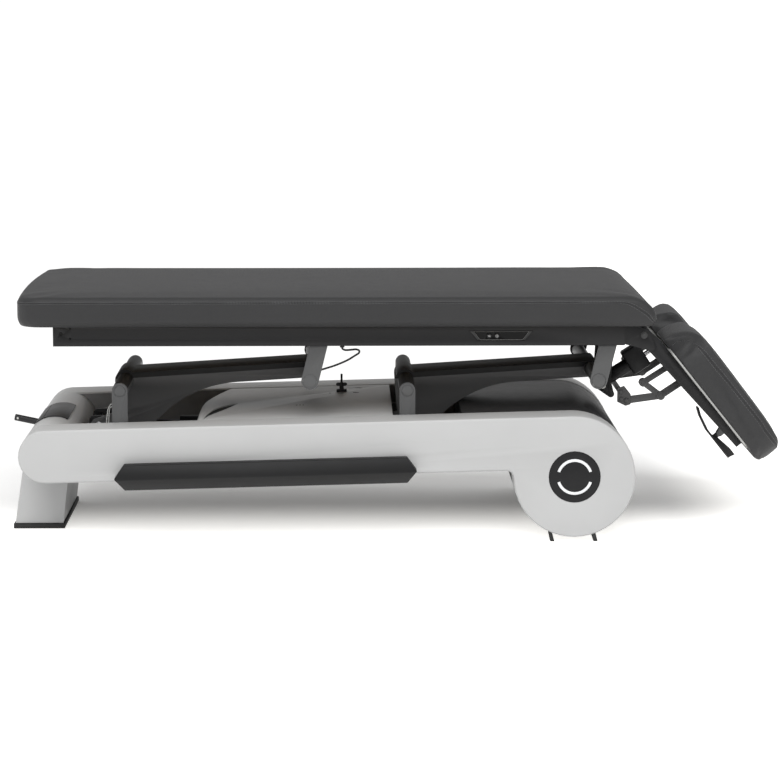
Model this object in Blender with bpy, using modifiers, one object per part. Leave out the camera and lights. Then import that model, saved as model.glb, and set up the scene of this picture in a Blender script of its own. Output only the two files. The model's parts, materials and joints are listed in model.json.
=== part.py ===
"""Height-adjustable massage table with a tilting head section.

Two side beams with discs carry a steel base. Two parallel arms lift a top frame
with a mattress, and a head section with a face notch is hinged to that frame.
Metres, +Z up, +X towards the head end, -Y the side with the control panel.
All places along X are measured from the axis of the discs. At the end the whole
table is centred over the origin, with its lowest face at z = 0.
"""
import math

import bmesh
import bpy
from mathutils import Matrix, Vector

# Base beams and discs
OVERALL_WIDTH = 0.700
BEAM_THICKNESS = 0.100
BEAM_HEIGHT = 0.116
BEAM_RISE = math.radians(1.43)
BASE_LENGTH = 1.156
DISC_RADIUS = 0.1335
FLOOR_CLEARANCE = 0.010
FILLET_RADIUS = 0.016
SHELL_WALL = 0.004
SHELL_EDGE = 0.003
SIDE_PLATE = 0.004

# Gaps between pieces that touch
SEAT = 0.0003
RUNNING = 0.0005

# Hub covers and their light arcs
HUB_RADIUS = 0.0567
HUB_FLANGE = 0.007
HUB_THICKNESS = 0.004
ARC_RADIUS = 0.0366
ARC_WIDTH = 0.006
ARC_PROUD = 0.0004
LIGHT_RING = 0.0015
ARC_SWEEP = math.radians(144)

# Foot end: cross hull, hatch, leg, pad, feet and inlet box
HULL_DEPTH = 0.0365
ROLL_START = 0.006
ROLL_REACH = 0.0585
ROLL_DROP = 0.066
ROLL_LIP = 0.022
HATCH_TAIL = 0.0325
HATCH_END = math.radians(131)
HATCH_THICKNESS = 0.0025
HATCH_WIDTH = 0.212
HATCH_OFFSET = -0.035
HATCH_SEAM = 0.0012
LEG_WIDTH = 0.344
LEG_BOTTOM_FOOTWARD = 0.0855
LEG_BOTTOM_HEADWARD = 0.0215
LEG_TOP_HEADWARD = 0.0345
PAD_HEIGHT = 0.012
PAD_OVERHANG = 0.004
FOOT_SPREAD = 0.0475
FOOT_SIZE = 0.009
FOOT_LEAN = 0.005
FOOT_DEPTH = 0.022
INLET_SIZE = (0.030, 0.070, 0.055)

# Pedal rod at the foot end
PEDAL_RADIUS = 0.0075
PEDAL_REACH = 0.0365
PEDAL_LEAN = math.radians(12)
PEDAL_OFFSET = -0.070
PEDAL_HEIGHT = 0.030
PEDAL_SLOT = 0.017
PEDAL_POCKET = 0.034

# Floor, deck and covers
FLOOR_PLATE = 0.003
FLOOR_ABOVE_BEAM = 0.008
DECK_FROM_PIVOT = 0.1695
DECK_END = 0.3930
DECK_WALL = 0.003
DECK_BEND = 0.012
DECK_FLANGE = 0.045
DECK_CORNER = 0.058
COVER_START = 0.240
COVER_WALL = 0.003
COVER_SPLIT = math.radians(-62)

# Lift arms and posts
FOOT_PIVOT_FROM_END = 0.1575
HEAD_PIVOT = 0.3635
PIVOT_HEIGHT = 0.321
ARM_LENGTH = 0.4208
ARM_REST = math.radians(3.54)
ARM_WIDTH = 0.140
ARM_WALL = 0.005
ARM_ABOVE_AXIS = 0.0165
ARM_BELOW_AXIS = 0.020
HUB_BOSS = 0.024
END_BOSS = 0.020
GUSSET_RADIUS = 0.266
GUSSET_TANGENT = 0.250
GUSSET_DEPTH = 0.085
LEVER_LENGTH = 0.120
LEVER_ANGLE = math.radians(31)
LEVER_BOSS = 0.018
POST_WIDTH = 0.035
POST_THICKNESS = 0.010
POST_FOOT = (0.055, 0.004)
PIVOT_TUBE_RADIUS = 0.0178
SHAFT_RADIUS = 0.0125

# Lift drive
ROLLER_RADIUS = 0.008
YOKE_PLATE = 0.006
YOKE_HALF_WIDTH = 0.058
YOKE_SIZE = (0.046, 0.058)
YOKE_BLOCK = 0.020
ROLLER_PLAY = 0.0016
SPINDLE_RADIUS = 0.011
SPINDLE_STOP = 0.1423
HOUSING_RADIUS = 0.0205
HOUSING_FROM_PIVOT = 0.1185
HOUSING_END = 0.560
LIFT_MOTOR = (0.095, 0.066, 0.070)
SADDLE_WIDTH = 0.030
CONTROL_BOX = (0.180, 0.130, 0.060)

# Foot bars
BAR_LENGTH = 0.658
BAR_CENTRE = 0.674
BAR_POINT = 0.021
BAR_HALF_HEIGHT = 0.029
BAR_PROJECTION = 0.035
BAR_DROP = 0.0395
BAR_STUD_RISE = 0.0165
BAR_TRAVEL = 0.005
BAR_STUD_RADIUS = 0.007
BAR_STUD_SPACING = 0.440

# Top frame
FRAME_FOOT = 1.1395
FRAME_HEAD = 0.1105
FRAME_BOTTOM = 0.4255
RAIL_HEIGHT = 0.0467
RAIL_WIDTH = 0.040
RAIL_WALL = 0.003
RAIL_OUTER = 0.290
CROSS_WIDTH = 0.040
CROSS_HEIGHT = 0.030
BRACKET_WIDTH = 0.038
BRACKET_THICKNESS = 0.008
BRACKET_LEAN = math.radians(14)
BRACKET_CENTRE = 0.280

# Control panel
PANEL_CENTRE = 0.1595
PANEL_TOP_WIDTH = 0.142
PANEL_BOTTOM_WIDTH = 0.104
PANEL_HEIGHT = 0.022
PANEL_RAISE = 0.022
PANEL_THICKNESS = 0.004
BUTTON_RADIUS = 0.0055
BUTTON_SPACING = 0.017
BUTTON_OFFSET = -0.0175
BUTTON_TRAVEL = 0.0015

# Mattress and its board
MATTRESS_FOOT = 1.2145
MATTRESS_HEAD = 0.1825
MATTRESS_WIDTH = 0.700
MATTRESS_THICKNESS = 0.0675
MATTRESS_EDGE = 0.016
NOSE_LENGTH = 0.072
BOARD_THICKNESS = 0.009
BOARD_MARGIN = 0.035

# Head section, in its own axes: x along the section, z up through the pad
HINGE_X = 0.1565
HINGE_RISE = 0.0205
REST_TILT = math.radians(51.3)
HEAD_WIDTH = 0.696
HEAD_START = 0.036
HEAD_END = 0.384
HEAD_PAD_BOTTOM = 0.0255
HEAD_PAD_THICKNESS = 0.066
HEAD_CORNER = 0.045
HEAD_PAD_EDGE = 0.014
NOTCH_WIDTH = 0.180
NOTCH_DEPTH = 0.110
HEAD_BOARD_THICKNESS = 0.004
HEAD_BOARD_START = 0.056
HEAD_BOARD_END = 0.330
HEAD_PLATE_THICKNESS = 0.006
HEAD_PLATE_CENTRE = 0.262
HEAD_PLATE_DEPTH = 0.026
HEAD_PLATE_TAPER = 0.011
HINGE_BOSS = 0.016
HINGE_PIN_RADIUS = 0.006
EAR_THICKNESS = 0.006
EAR_GAP = 0.0006
HEAD_TUBE = (0.022, 0.018)
HEAD_TUBE_PLACES = (0.112, 0.262)

# Struts under the head section
STRUT_BAND = 0.013
STRUT_PLATE = 0.006
STRUT_OFFSET = 0.200
STOP_ROD_RADIUS = 0.006
KNEE_BOSS = 0.0095

# Tilt actuator
ACTUATOR_FOOT_BACK = 0.071
ACTUATOR_FOOT_DROP = 0.141
ACTUATOR_EYE = (0.082, 0.008)
ACTUATOR_RADIUS = 0.016
ACTUATOR_BODY = 0.120
ACTUATOR_ROD = 0.0055
ACTUATOR_ROD_START = 0.042
TILT_MOTOR = (0.046, 0.052, 0.058)
TILT_MOTOR_PLACE = 0.097
HANGER_TAIL = (0.020, -0.021)
HANGER_TAIL_RADIUS = 0.008
HANGER_PLATE = 0.005
HANGER_SPREAD = 0.045
LUG_PLATE = 0.005
EYE_RADIUS = 0.011
EYE_WIDTH = 0.010

# Release handle under the head section, in the section's axes
HANDLE_PIVOT = (0.300, -0.004)
HANDLE_OFFSET = -0.150
HANDLE_WIDTH = 0.026
HANDLE_BAND = 0.005
HANDLE_CHEEK = 0.002

# Cable between the frame and a bracket
CABLE_RADIUS = 0.0022
GLAND_RADIUS = 0.005

FACETS = 24

# Values worked out from the sizes above
HALF_WIDTH = OVERALL_WIDTH / 2
INNER = HALF_WIDTH - BEAM_THICKNESS
DISC_Z = FLOOR_CLEARANCE + DISC_RADIUS
RISE = Vector((math.cos(BEAM_RISE), math.sin(BEAM_RISE)))
UP = Vector((-RISE.y, RISE.x))
BEAM_RADIUS = BEAM_HEIGHT / 2
FOOT_PIVOT = BASE_LENGTH - FOOT_PIVOT_FROM_END
DECK_START = FOOT_PIVOT - DECK_FROM_PIVOT
HOUSING_START = FOOT_PIVOT - HOUSING_FROM_PIVOT
HINGE_HEIGHT = FRAME_BOTTOM + HINGE_RISE
ACTUATOR_FOOT = (HINGE_X - ACTUATOR_FOOT_BACK, HINGE_HEIGHT - ACTUATOR_FOOT_DROP)
FRAME_TOP = FRAME_BOTTOM + RAIL_HEIGHT
MATTRESS_BOTTOM = FRAME_TOP + SEAT
HULL_CENTRE_X = -BASE_LENGTH
POST_CENTRE = INNER - SEAT - POST_THICKNESS / 2


def clear_scene():
    """Remove every object that the file opens with."""
    for item in list(bpy.data.objects):
        bpy.data.objects.remove(item, do_unlink=True)


clear_scene()
TABLE = bpy.data.collections.new("massage_table")
CUTTERS = bpy.data.collections.new("cutters")
bpy.context.scene.collection.children.link(TABLE)
bpy.context.scene.collection.children.link(CUTTERS)


def finish(name, colour, roughness, metallic=0.0):
    """A Principled material."""
    material = bpy.data.materials.new(name)
    material.use_nodes = True
    shader = material.node_tree.nodes["Principled BSDF"]
    shader.inputs["Base Color"].default_value = (*colour, 1.0)
    shader.inputs["Roughness"].default_value = roughness
    shader.inputs["Metallic"].default_value = metallic
    material.diffuse_color = (*colour, 1.0)
    return material


LIGHT_GREY = finish("light_grey_shell", (0.60, 0.60, 0.59), 0.45)
DARK_GREY = finish("dark_grey_cover", (0.060, 0.060, 0.060), 0.50)
STEEL_GREY = finish("grey_painted_steel", (0.100, 0.100, 0.100), 0.45, 0.3)
BLACK_STEEL = finish("black_painted_steel", (0.018, 0.018, 0.018), 0.45, 0.3)
BLACK_PLASTIC = finish("black_plastic", (0.015, 0.015, 0.015), 0.40)
RUBBER = finish("black_rubber", (0.010, 0.010, 0.010), 0.80)
GLOSS_BLACK = finish("gloss_black_panel", (0.008, 0.008, 0.008), 0.12)
BRIGHT_STEEL = finish("bright_steel", (0.55, 0.55, 0.55), 0.30, 1.0)
LEATHER = finish("grey_upholstery", (0.085, 0.085, 0.085), 0.55)
PLYWOOD = finish("plywood", (0.45, 0.33, 0.20), 0.70)
PALE_EDGE = finish("pale_metal_sheet", (0.50, 0.50, 0.49), 0.35, 0.6)
GLOW = finish("light_diffuser", (0.95, 0.95, 0.95), 0.30)


def empty(name, place, parent=None, tilt=0.0):
    """An empty on a joint's axis, which its body's pieces hang from."""
    item = bpy.data.objects.new(name, None)
    TABLE.objects.link(item)
    item.empty_display_size = 0.03
    item.location = place
    item.rotation_euler = (0.0, tilt, 0.0)
    if parent:
        item.parent = parent
        item.matrix_parent_inverse = Matrix.Translation(-Vector(parent["place"]))
    item["place"] = place
    return item


def cleaned(mesh, plain=True):
    """Weld a mesh, and merge its flat facets where it has no holes."""
    work = bmesh.new()
    work.from_mesh(mesh)
    bmesh.ops.remove_doubles(work, verts=work.verts, dist=1e-6)
    if plain:
        bmesh.ops.dissolve_limit(work, angle_limit=0.002, verts=work.verts, edges=work.edges)
    bmesh.ops.recalc_face_normals(work, faces=work.faces)
    work.to_mesh(mesh)
    work.free()
    return mesh


def evaluated_mesh(item):
    """The mesh that an object shows, with its modifiers and its place."""
    graph = bpy.context.evaluated_depsgraph_get()
    mesh = bpy.data.meshes.new_from_object(item.evaluated_get(graph))
    mesh.transform(item.matrix_world)
    return mesh


def loose(name, mesh):
    """A new object in the scene that belongs to no body yet."""
    item = bpy.data.objects.new(name, mesh)
    CUTTERS.objects.link(item)
    return item


def settle(item, name, look, body):
    """Name an object, give it its material and hang it on its body."""
    CUTTERS.objects.unlink(item)
    TABLE.objects.link(item)
    item.name = name
    item.data.name = name
    item.data.materials.clear()
    item.data.materials.append(look)
    item.data.shade_smooth()
    item.data.set_sharp_from_angle(angle=math.radians(35))
    item.parent = body
    if "local" not in body:
        item.matrix_parent_inverse = Matrix.Translation(-Vector(body["place"]))
    return item


def remove(*items):
    for item in items:
        bpy.data.objects.remove(item, do_unlink=True)


def joined(items):
    """Overlapping solids welded into one body."""
    return combined(items[0], items[1:], "UNION")


def bevelled(item, width, segments=2, angle=30):
    modifier = item.modifiers.new("rounded edges", "BEVEL")
    modifier.width = width
    modifier.segments = segments
    modifier.limit_method = "ANGLE"
    modifier.angle_limit = math.radians(angle)
    return item


def combined(item, others, operation="DIFFERENCE"):
    """Cut or join a solid with others, and keep the result as its mesh."""
    for other in others:
        other.hide_render = True
        other.display_type = "WIRE"
        modifier = item.modifiers.new("cut", "BOOLEAN")
        modifier.operation = operation
        modifier.solver = "EXACT"
        modifier.object = other
    bpy.context.view_layer.update()
    mesh = evaluated_mesh(item)
    remove(item, *others)
    return loose("cut", cleaned(mesh, plain=False))


def arc(centre, radius, start, end, count=12):
    """Points on an arc between two angles in radians."""
    step = (end - start) / count
    return [(centre[0] + radius * math.cos(start + step * i),
             centre[1] + radius * math.sin(start + step * i)) for i in range(count + 1)]


def circle(centre, radius, count=20):
    return arc(centre, radius, 0.0, math.tau, count)[:-1]


def rounded_rectangle(centre, size, radius, count=5):
    """A rectangle with round corners, counter-clockwise."""
    half_x, half_z = size[0] / 2 - radius, size[1] / 2 - radius
    points = []
    for index, (side_x, side_z) in enumerate(((1, 1), (-1, 1), (-1, -1), (1, -1))):
        corner = (centre[0] + side_x * half_x, centre[1] + side_z * half_z)
        points += arc(corner, radius, index * math.pi / 2, (index + 1) * math.pi / 2, count)
    return points


def strip(path, width):
    """Outline of a flat band of even width along a bent centre line."""
    path = [Vector(point) for point in path]
    left, right = [], []
    for index, point in enumerate(path):
        before = (point - path[index - 1]).normalized() if index else None
        after = (path[index + 1] - point).normalized() if index + 1 < len(path) else before
        before = before or after
        along = (before + after).normalized()
        normal = Vector((-along.y, along.x))
        reach = width / 2 / max(0.4, normal.dot(Vector((-after.y, after.x))))
        left.append(tuple(point + normal * reach))
        right.append(tuple(point - normal * reach))
    return left + right[::-1]


def turned_about(points, centre, angle):
    """Points in the XZ plane turned about a centre, +X towards +Z."""
    cosine, sine = math.cos(angle), math.sin(angle)
    return [(centre[0] + (x - centre[0]) * cosine - (z - centre[1]) * sine,
             centre[1] + (x - centre[0]) * sine + (z - centre[1]) * cosine) for x, z in points]


def flat_mesh(outline, holes, thickness):
    """A 2D curve with its holes, filled and given its thickness, as a mesh."""
    curve = bpy.data.curves.new("outline", "CURVE")
    curve.dimensions = "2D"
    curve.fill_mode = "BOTH"
    curve.extrude = thickness / 2
    for points in [outline, *holes]:
        spline = curve.splines.new("POLY")
        spline.points.add(len(points) - 1)
        for target, (x, y) in zip(spline.points, points):
            target.co = (x, y, 0.0, 1.0)
        spline.use_cyclic_u = True
    item = loose("outline", curve)
    bpy.context.view_layer.update()
    mesh = evaluated_mesh(item)
    remove(item)
    return cleaned(mesh, plain=not holes)


def plate(outline, thickness, y=0.0, holes=()):
    """A flat piece standing in the XZ plane, centred on y."""
    item = loose("plate", flat_mesh(outline, holes, thickness))
    item.data.transform(Matrix.Translation((0.0, y, 0.0)) @ Matrix.Rotation(math.pi / 2, 4, "X"))
    return item


def sheet(outline, thickness, z=0.0, holes=()):
    """A flat piece lying in the XY plane, centred on z."""
    item = loose("sheet", flat_mesh(outline, holes, thickness))
    item.data.transform(Matrix.Translation((0.0, 0.0, z)))
    return item


def section(outline, length, x=0.0, holes=()):
    """A profile in the YZ plane drawn out along X, centred on x."""
    item = loose("section", flat_mesh(outline, holes, length))
    turn = Matrix(((0, 0, 1, 0), (1, 0, 0, 0), (0, 1, 0, 0), (0, 0, 0, 1)))
    item.data.transform(Matrix.Translation((x, 0.0, 0.0)) @ turn)
    return item


def block(size, centre, turn=0.0):
    """A box, turned in the XZ plane about its own centre."""
    mesh = bpy.data.meshes.new("block")
    work = bmesh.new()
    bmesh.ops.create_cube(work, size=1.0)
    bmesh.ops.scale(work, vec=Vector(size), verts=work.verts)
    work.to_mesh(mesh)
    work.free()
    mesh.transform(Matrix.Translation(centre) @ Matrix.Rotation(-turn, 4, "Y"))
    return loose("block", mesh)


def rod(radius, start, end, facets=FACETS):
    """A solid cylinder between two points."""
    start, end = Vector(start), Vector(end)
    mesh = bpy.data.meshes.new("rod")
    work = bmesh.new()
    bmesh.ops.create_cone(work, cap_ends=True, segments=facets, radius1=radius, radius2=radius,
                          depth=(end - start).length)
    work.to_mesh(mesh)
    work.free()
    turn = (end - start).to_track_quat("Z", "Y").to_matrix().to_4x4()
    mesh.transform(Matrix.Translation((start + end) / 2) @ turn)
    return loose("rod", mesh)


def cross_rod(radius, x, z, half, y=0.0, facets=FACETS):
    """A cylinder along Y."""
    return rod(radius, (x, y - half, z), (x, y + half, z), facets)


def along_beam(distance_back, above_bottom):
    """A point over the beams' lower edge, at a distance back from the disc axis."""
    start = Vector((0.0, DISC_Z)) + UP * (DISC_RADIUS - BEAM_HEIGHT)
    reach = (distance_back + start.x) / RISE.x
    point = start - RISE * reach + UP * above_bottom
    return point.x, point.y


def beam_axis():
    """Ends of the beam's centre line: foot end, and over the disc."""
    head = Vector((0.0, DISC_Z)) + UP * (DISC_RADIUS - BEAM_RADIUS)
    foot = head - RISE * ((head.x - HULL_CENTRE_X) / RISE.x)
    return foot, head


FOOT_CENTRE, _ = beam_axis()


def base_outline(inset):
    """One side of the base: round foot end, beam, fillet and disc, shrunk by inset."""
    disc = Vector((0.0, DISC_Z))
    foot, head = beam_axis()
    radius = BEAM_RADIUS - inset
    round_off = FILLET_RADIUS + inset
    rise = BEAM_RISE
    points = arc(foot, radius, math.pi / 2 + rise, 3 * math.pi / 2 + rise, 14)
    drop = DISC_RADIUS - BEAM_HEIGHT - FILLET_RADIUS
    reach = -math.sqrt((DISC_RADIUS + FILLET_RADIUS) ** 2 - drop ** 2)
    fillet = disc + UP * drop + RISE * reach
    towards = (disc - fillet).to_tuple()
    meet = math.atan2(towards[1], towards[0])
    points += arc(fillet, round_off, math.pi / 2 + rise, meet, 4)
    start = math.atan2(-towards[1], -towards[0]) + math.tau
    points += arc(disc, DISC_RADIUS - inset, start, math.tau + math.pi / 2 + rise, 36)
    return points


def side_shell(side):
    """A hollow beam and disc, open towards the middle of the table."""
    outer_y = side * HALF_WIDTH
    middle = outer_y - side * BEAM_THICKNESS / 2
    shell = bevelled(plate(base_outline(0.0), BEAM_THICKNESS, middle), SHELL_EDGE, 1)
    pocket = plate(base_outline(SHELL_WALL), BEAM_THICKNESS, middle - side * SHELL_WALL)
    hub = cross_rod(HUB_RADIUS + SEAT, 0.0, DISC_Z, SHELL_WALL, outer_y, 36)
    cutters = [pocket, hub]
    for place in bar_studs():
        slot = rounded_rectangle((place[0], place[1] - BAR_TRAVEL / 2),
                                 (2 * BAR_STUD_RADIUS + 0.002, 2 * BAR_STUD_RADIUS + BAR_TRAVEL + 0.002),
                                 BAR_STUD_RADIUS)
        cutters.append(plate(slot, 4 * SHELL_WALL, outer_y))
    return combined(shell, cutters)


def bar_studs():
    """Centres of a foot bar's two studs."""
    centre = along_beam(BAR_CENTRE, BAR_DROP - BAR_HALF_HEIGHT + BAR_STUD_RISE)
    half = BAR_STUD_SPACING / 2
    return [(centre[0] + RISE.x * step, centre[1] + RISE.y * step) for step in (-half, half)]


def base_chassis():
    """Steel side plates that close the shells, welded to the inclined floor."""
    outline = base_outline(SHELL_WALL + SEAT)
    place = INNER + SEAT + SIDE_PLATE / 2
    return joined([base_floor(), *(plate(outline, SIDE_PLATE, side * place) for side in (-1, 1))])


def hub_cover(side):
    """A round cover with a flange behind the shell's wall and a slot for each light."""
    face = side * (HALF_WIDTH - 0.0002)
    back = face - side * (HUB_THICKNESS + 0.003)
    step = face - side * (HUB_THICKNESS + 0.0006)
    cover = bevelled(rod(HUB_RADIUS, (0.0, face, DISC_Z), (0.0, back, DISC_Z), 36), 0.001, 1)
    flange = rod(HUB_RADIUS + HUB_FLANGE, (0.0, step, DISC_Z), (0.0, back + side * 0.0005, DISC_Z), 36)
    slots = [light_arc(side, upper, SEAT) for upper in (True, False)]
    return combined(joined([cover, flange]), slots)


def light_arc(side, upper, clearance):
    """One curved light, or the slot in the cover that it stands in."""
    centre = (0.0, DISC_Z)
    middle = math.pi / 2 if upper else -math.pi / 2
    half = ARC_SWEEP / 2 + clearance / ARC_RADIUS
    inner = ARC_RADIUS - ARC_WIDTH / 2 - clearance
    outer = ARC_RADIUS + ARC_WIDTH / 2 + clearance
    points = arc(centre, outer, middle - half, middle + half, 14)
    points += arc(centre, inner, middle + half, middle - half, 14)
    face = side * (HALF_WIDTH - 0.0002)
    if clearance:
        return plate(points, 0.030, face)
    depth = HUB_THICKNESS + 0.003 + 2 * SEAT + LIGHT_RING / 2
    return plate(points, depth, face - side * (depth / 2 - ARC_PROUD))


def light_ring(side):
    """Light guide: a ring behind the hub cover, with two arcs through its slots."""
    centre = (0.0, DISC_Z)
    half = ARC_WIDTH / 2 + 0.003
    back = side * (HALF_WIDTH - 0.0002 - HUB_THICKNESS - 0.003 - SEAT - LIGHT_RING / 2)
    ring = plate(circle(centre, ARC_RADIUS + half, 28), LIGHT_RING, back,
                 [circle(centre, ARC_RADIUS - half, 28)])
    return joined([ring, *(light_arc(side, upper, 0.0) for upper in (True, False))])


def hull_roll(offset, reach=None):
    """The hull's top, which rolls down towards the head end, up to a reach along it."""
    middle = FOOT_CENTRE + RISE * ROLL_START + UP * (BEAM_RADIUS - ROLL_DROP)
    limit = 1.0 if reach is None else (reach - ROLL_START) / ROLL_REACH
    count = 9 if reach is None else 4
    points = []
    for index in range(count + 1):
        angle = math.asin(limit) * index / count
        spot = middle + RISE * (ROLL_REACH + offset) * math.sin(angle) + UP * (ROLL_DROP + offset) * math.cos(angle)
        points.append((spot.x, spot.y))
    return points


def hull_outline():
    """The foot-end hull: the beams' round end, and a rounded lip over its head side."""
    start = math.pi / 2 + BEAM_RISE
    points = arc(FOOT_CENTRE, BEAM_RADIUS, start, start + math.pi, 20)
    tip = hull_roll(0.0)[-1]
    lip = Vector(tip) - UP * ROLL_LIP
    back = lip - RISE * (ROLL_START + ROLL_REACH - HULL_DEPTH)
    low = FOOT_CENTRE - UP * BEAM_RADIUS + RISE * HULL_DEPTH
    return points + [tuple(low), tuple(back), tuple(lip)] + hull_roll(0.0)[::-1]


def foot_cross_hull():
    """Light grey cross piece between the beams, with the pedal's slot."""
    hull = plate(hull_outline(), 2 * (INNER - SEAT), 0.0)
    reach = BEAM_RADIUS + PEDAL_POCKET
    slot = block((2 * reach, PEDAL_SLOT, 2 * PEDAL_SLOT),
                 (FOOT_CENTRE.x - reach + 0.010, PEDAL_OFFSET, FOOT_CENTRE.y + PEDAL_HEIGHT))
    return combined(hull, [slot])


def hatch(part):
    """One half of the curved lid that wraps over the cross hull."""
    inner = BEAM_RADIUS + SEAT
    outer = inner + HATCH_THICKNESS
    split = math.radians(112)
    if part == "upper":
        points = arc(FOOT_CENTRE, inner, split, math.pi / 2 + BEAM_RISE, 6)
        points += hull_roll(SEAT, HATCH_TAIL) + hull_roll(SEAT + HATCH_THICKNESS, HATCH_TAIL)[::-1]
        points += arc(FOOT_CENTRE, outer, math.pi / 2 + BEAM_RISE, split, 6)
    else:
        start, end = split + HATCH_SEAM / BEAM_RADIUS, HATCH_END
        points = arc(FOOT_CENTRE, inner, end, start, 8) + arc(FOOT_CENTRE, outer, start, end, 8)
    return plate(points, HATCH_WIDTH, HATCH_OFFSET)


def leg():
    """Raked leg whose top wraps the lower side of the cross hull."""
    foot, radius = FOOT_CENTRE, BEAM_RADIUS + SEAT
    head_side = foot - UP * radius + RISE * LEG_TOP_HEADWARD
    points = arc(foot, radius, math.radians(172), 3 * math.pi / 2 + BEAM_RISE, 16)
    points.append(tuple(head_side))
    points.append((foot.x + LEG_BOTTOM_HEADWARD, PAD_HEIGHT + SEAT))
    points.append((foot.x - LEG_BOTTOM_FOOTWARD, PAD_HEIGHT + SEAT))
    return bevelled(plate(points, LEG_WIDTH, 0.0), 0.002, 1)


def leg_pad():
    width = LEG_BOTTOM_FOOTWARD + LEG_BOTTOM_HEADWARD + 2 * PAD_OVERHANG
    middle = FOOT_CENTRE.x + (LEG_BOTTOM_HEADWARD - LEG_BOTTOM_FOOTWARD) / 2
    pad = block((width, LEG_WIDTH + 2 * PAD_OVERHANG, PAD_HEIGHT), (middle, 0.0, PAD_HEIGHT / 2))
    return bevelled(pad, 0.0015, 1)


def levelling_foot(side, place):
    """Small raked rubber foot under a disc."""
    top = [place - FOOT_LEAN - FOOT_SIZE / 2, place - FOOT_LEAN + FOOT_SIZE / 2]
    ends = [(x, DISC_Z - math.sqrt((DISC_RADIUS + SEAT) ** 2 - x * x)) for x in top]
    points = [(place - FOOT_SIZE / 2, 0.0), (place + FOOT_SIZE / 2, 0.0), ends[1], ends[0]]
    centre = side * (HALF_WIDTH - SHELL_EDGE - FOOT_DEPTH / 2)
    return plate(points, FOOT_DEPTH, centre)


def base_floor():
    """Inclined floor plate between the side plates."""
    start = (BASE_LENGTH - HULL_DEPTH) - 0.002
    end = DISC_RADIUS + FILLET_RADIUS
    length = (start - end) / RISE.x
    middle = along_beam((start + end) / 2, FLOOR_ABOVE_BEAM + FLOOR_PLATE / 2)
    width = 2 * (INNER + SEAT) + SIDE_PLATE
    return block((length, width, FLOOR_PLATE), (middle[0], 0.0, middle[1]), BEAM_RISE)


def on_floor(back, size, y):
    """A block standing on the floor plate."""
    centre = along_beam(back, FLOOR_ABOVE_BEAM + FLOOR_PLATE + SEAT + size[2] / 2)
    return block(size, (centre[0], y, centre[1]), BEAM_RISE)


def inlet_box():
    """Box hung under the floor plate behind the leg."""
    back = BASE_LENGTH - HULL_DEPTH - 0.004 - INLET_SIZE[0] / 2
    centre = along_beam(back, FLOOR_ABOVE_BEAM - SEAT - INLET_SIZE[2] / 2)
    return bevelled(block(INLET_SIZE, (centre[0], 0.0, centre[1]), BEAM_RISE), 0.002, 1)


def top_line(back, below):
    """A point under the beams' upper edge."""
    return along_beam(back, BEAM_HEIGHT - below)


def base_deck():
    """Light deck, bent down at its foot end, with a curved slot and a vent."""
    below = 0.001
    corner = Vector(top_line(DECK_START, below + DECK_BEND)) + RISE * DECK_BEND
    points = [tuple(Vector(top_line(DECK_END, below)))]
    points += arc(corner, DECK_BEND, math.pi / 2 + BEAM_RISE, math.pi + BEAM_RISE, 5)
    lower = Vector(points[-1]) - UP * DECK_FLANGE
    points += [tuple(lower), tuple(lower + RISE * DECK_WALL)]
    points += arc(corner, DECK_BEND - DECK_WALL, math.pi + BEAM_RISE, math.pi / 2 + BEAM_RISE, 5)
    points.append(tuple(Vector(top_line(DECK_END, below + DECK_WALL))))
    deck = plate(points, 2 * (INNER - SEAT), 0.0)
    height = top_line(DECK_START, 0.0)[1]
    slot = sheet(crescent(), 0.06, height)
    vent = sheet(arc((-DECK_END - 0.076, 0.200), 0.010, 0.0, math.pi, 8), 0.06, height)
    top = spindle_height() + HOUSING_RADIUS + 0.006
    passage = block((6 * DECK_BEND, 2 * HOUSING_RADIUS + 0.050, 0.100), (-DECK_START, 0.0, top - 0.050))
    corner = sheet(deck_corner(), 0.20, height)
    return combined(deck, [slot, vent, passage, corner])


def deck_corner():
    """What the round far corner leaves off the deck's foot end, in plan."""
    count = 8
    points = []
    for index in range(count + 1):
        share = index / count
        points.append((-DECK_START + DECK_CORNER * share ** 1.7, -0.060 + (INNER + 0.060) * share))
    return points + [(-DECK_START + DECK_CORNER, INNER + 0.01), (-DECK_START - 0.02, INNER + 0.01),
                     (-DECK_START - 0.02, -0.060)]


def crescent():
    """Crescent opening near the deck's foot end, in plan."""
    foot, middle, tip = (0.0145, -0.236), (0.020, -0.110), (0.082, 0.000)
    swell, count = 0.017, 14
    outer, inner = [], []
    for index in range(count + 1):
        share = index / count
        x = (1 - share) ** 2 * foot[0] + 2 * share * (1 - share) * middle[0] + share ** 2 * tip[0]
        y = (1 - share) ** 2 * foot[1] + 2 * share * (1 - share) * middle[1] + share ** 2 * tip[1]
        half = max(0.0004, swell * math.sin(math.pi * share ** 1.5) ** 0.9) if index < count else 0.0004
        outer.append((-DECK_START + x - half * 0.35, y + half * 1.3))
        inner.append((-DECK_START + x + half * 0.35, y - half * 1.3))
    return outer + inner[::-1]


def deck_clamp():
    """Small clamp block on the deck, with an upright pin in it."""
    place = top_line(DECK_END + 0.113, 0.0)
    foot = place[1] - 0.001 + SEAT
    base = block((0.024, 0.014, 0.006), (place[0], 0.150, foot + 0.003), BEAM_RISE)
    jaw = block((0.010, 0.014, 0.010), (place[0], 0.150, foot + 0.0105), BEAM_RISE)
    pin = rod(0.0025, (place[0], 0.150, foot + 0.010), (place[0], 0.150, foot + 0.042), 12)
    return joined([base, jaw, pin])


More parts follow.
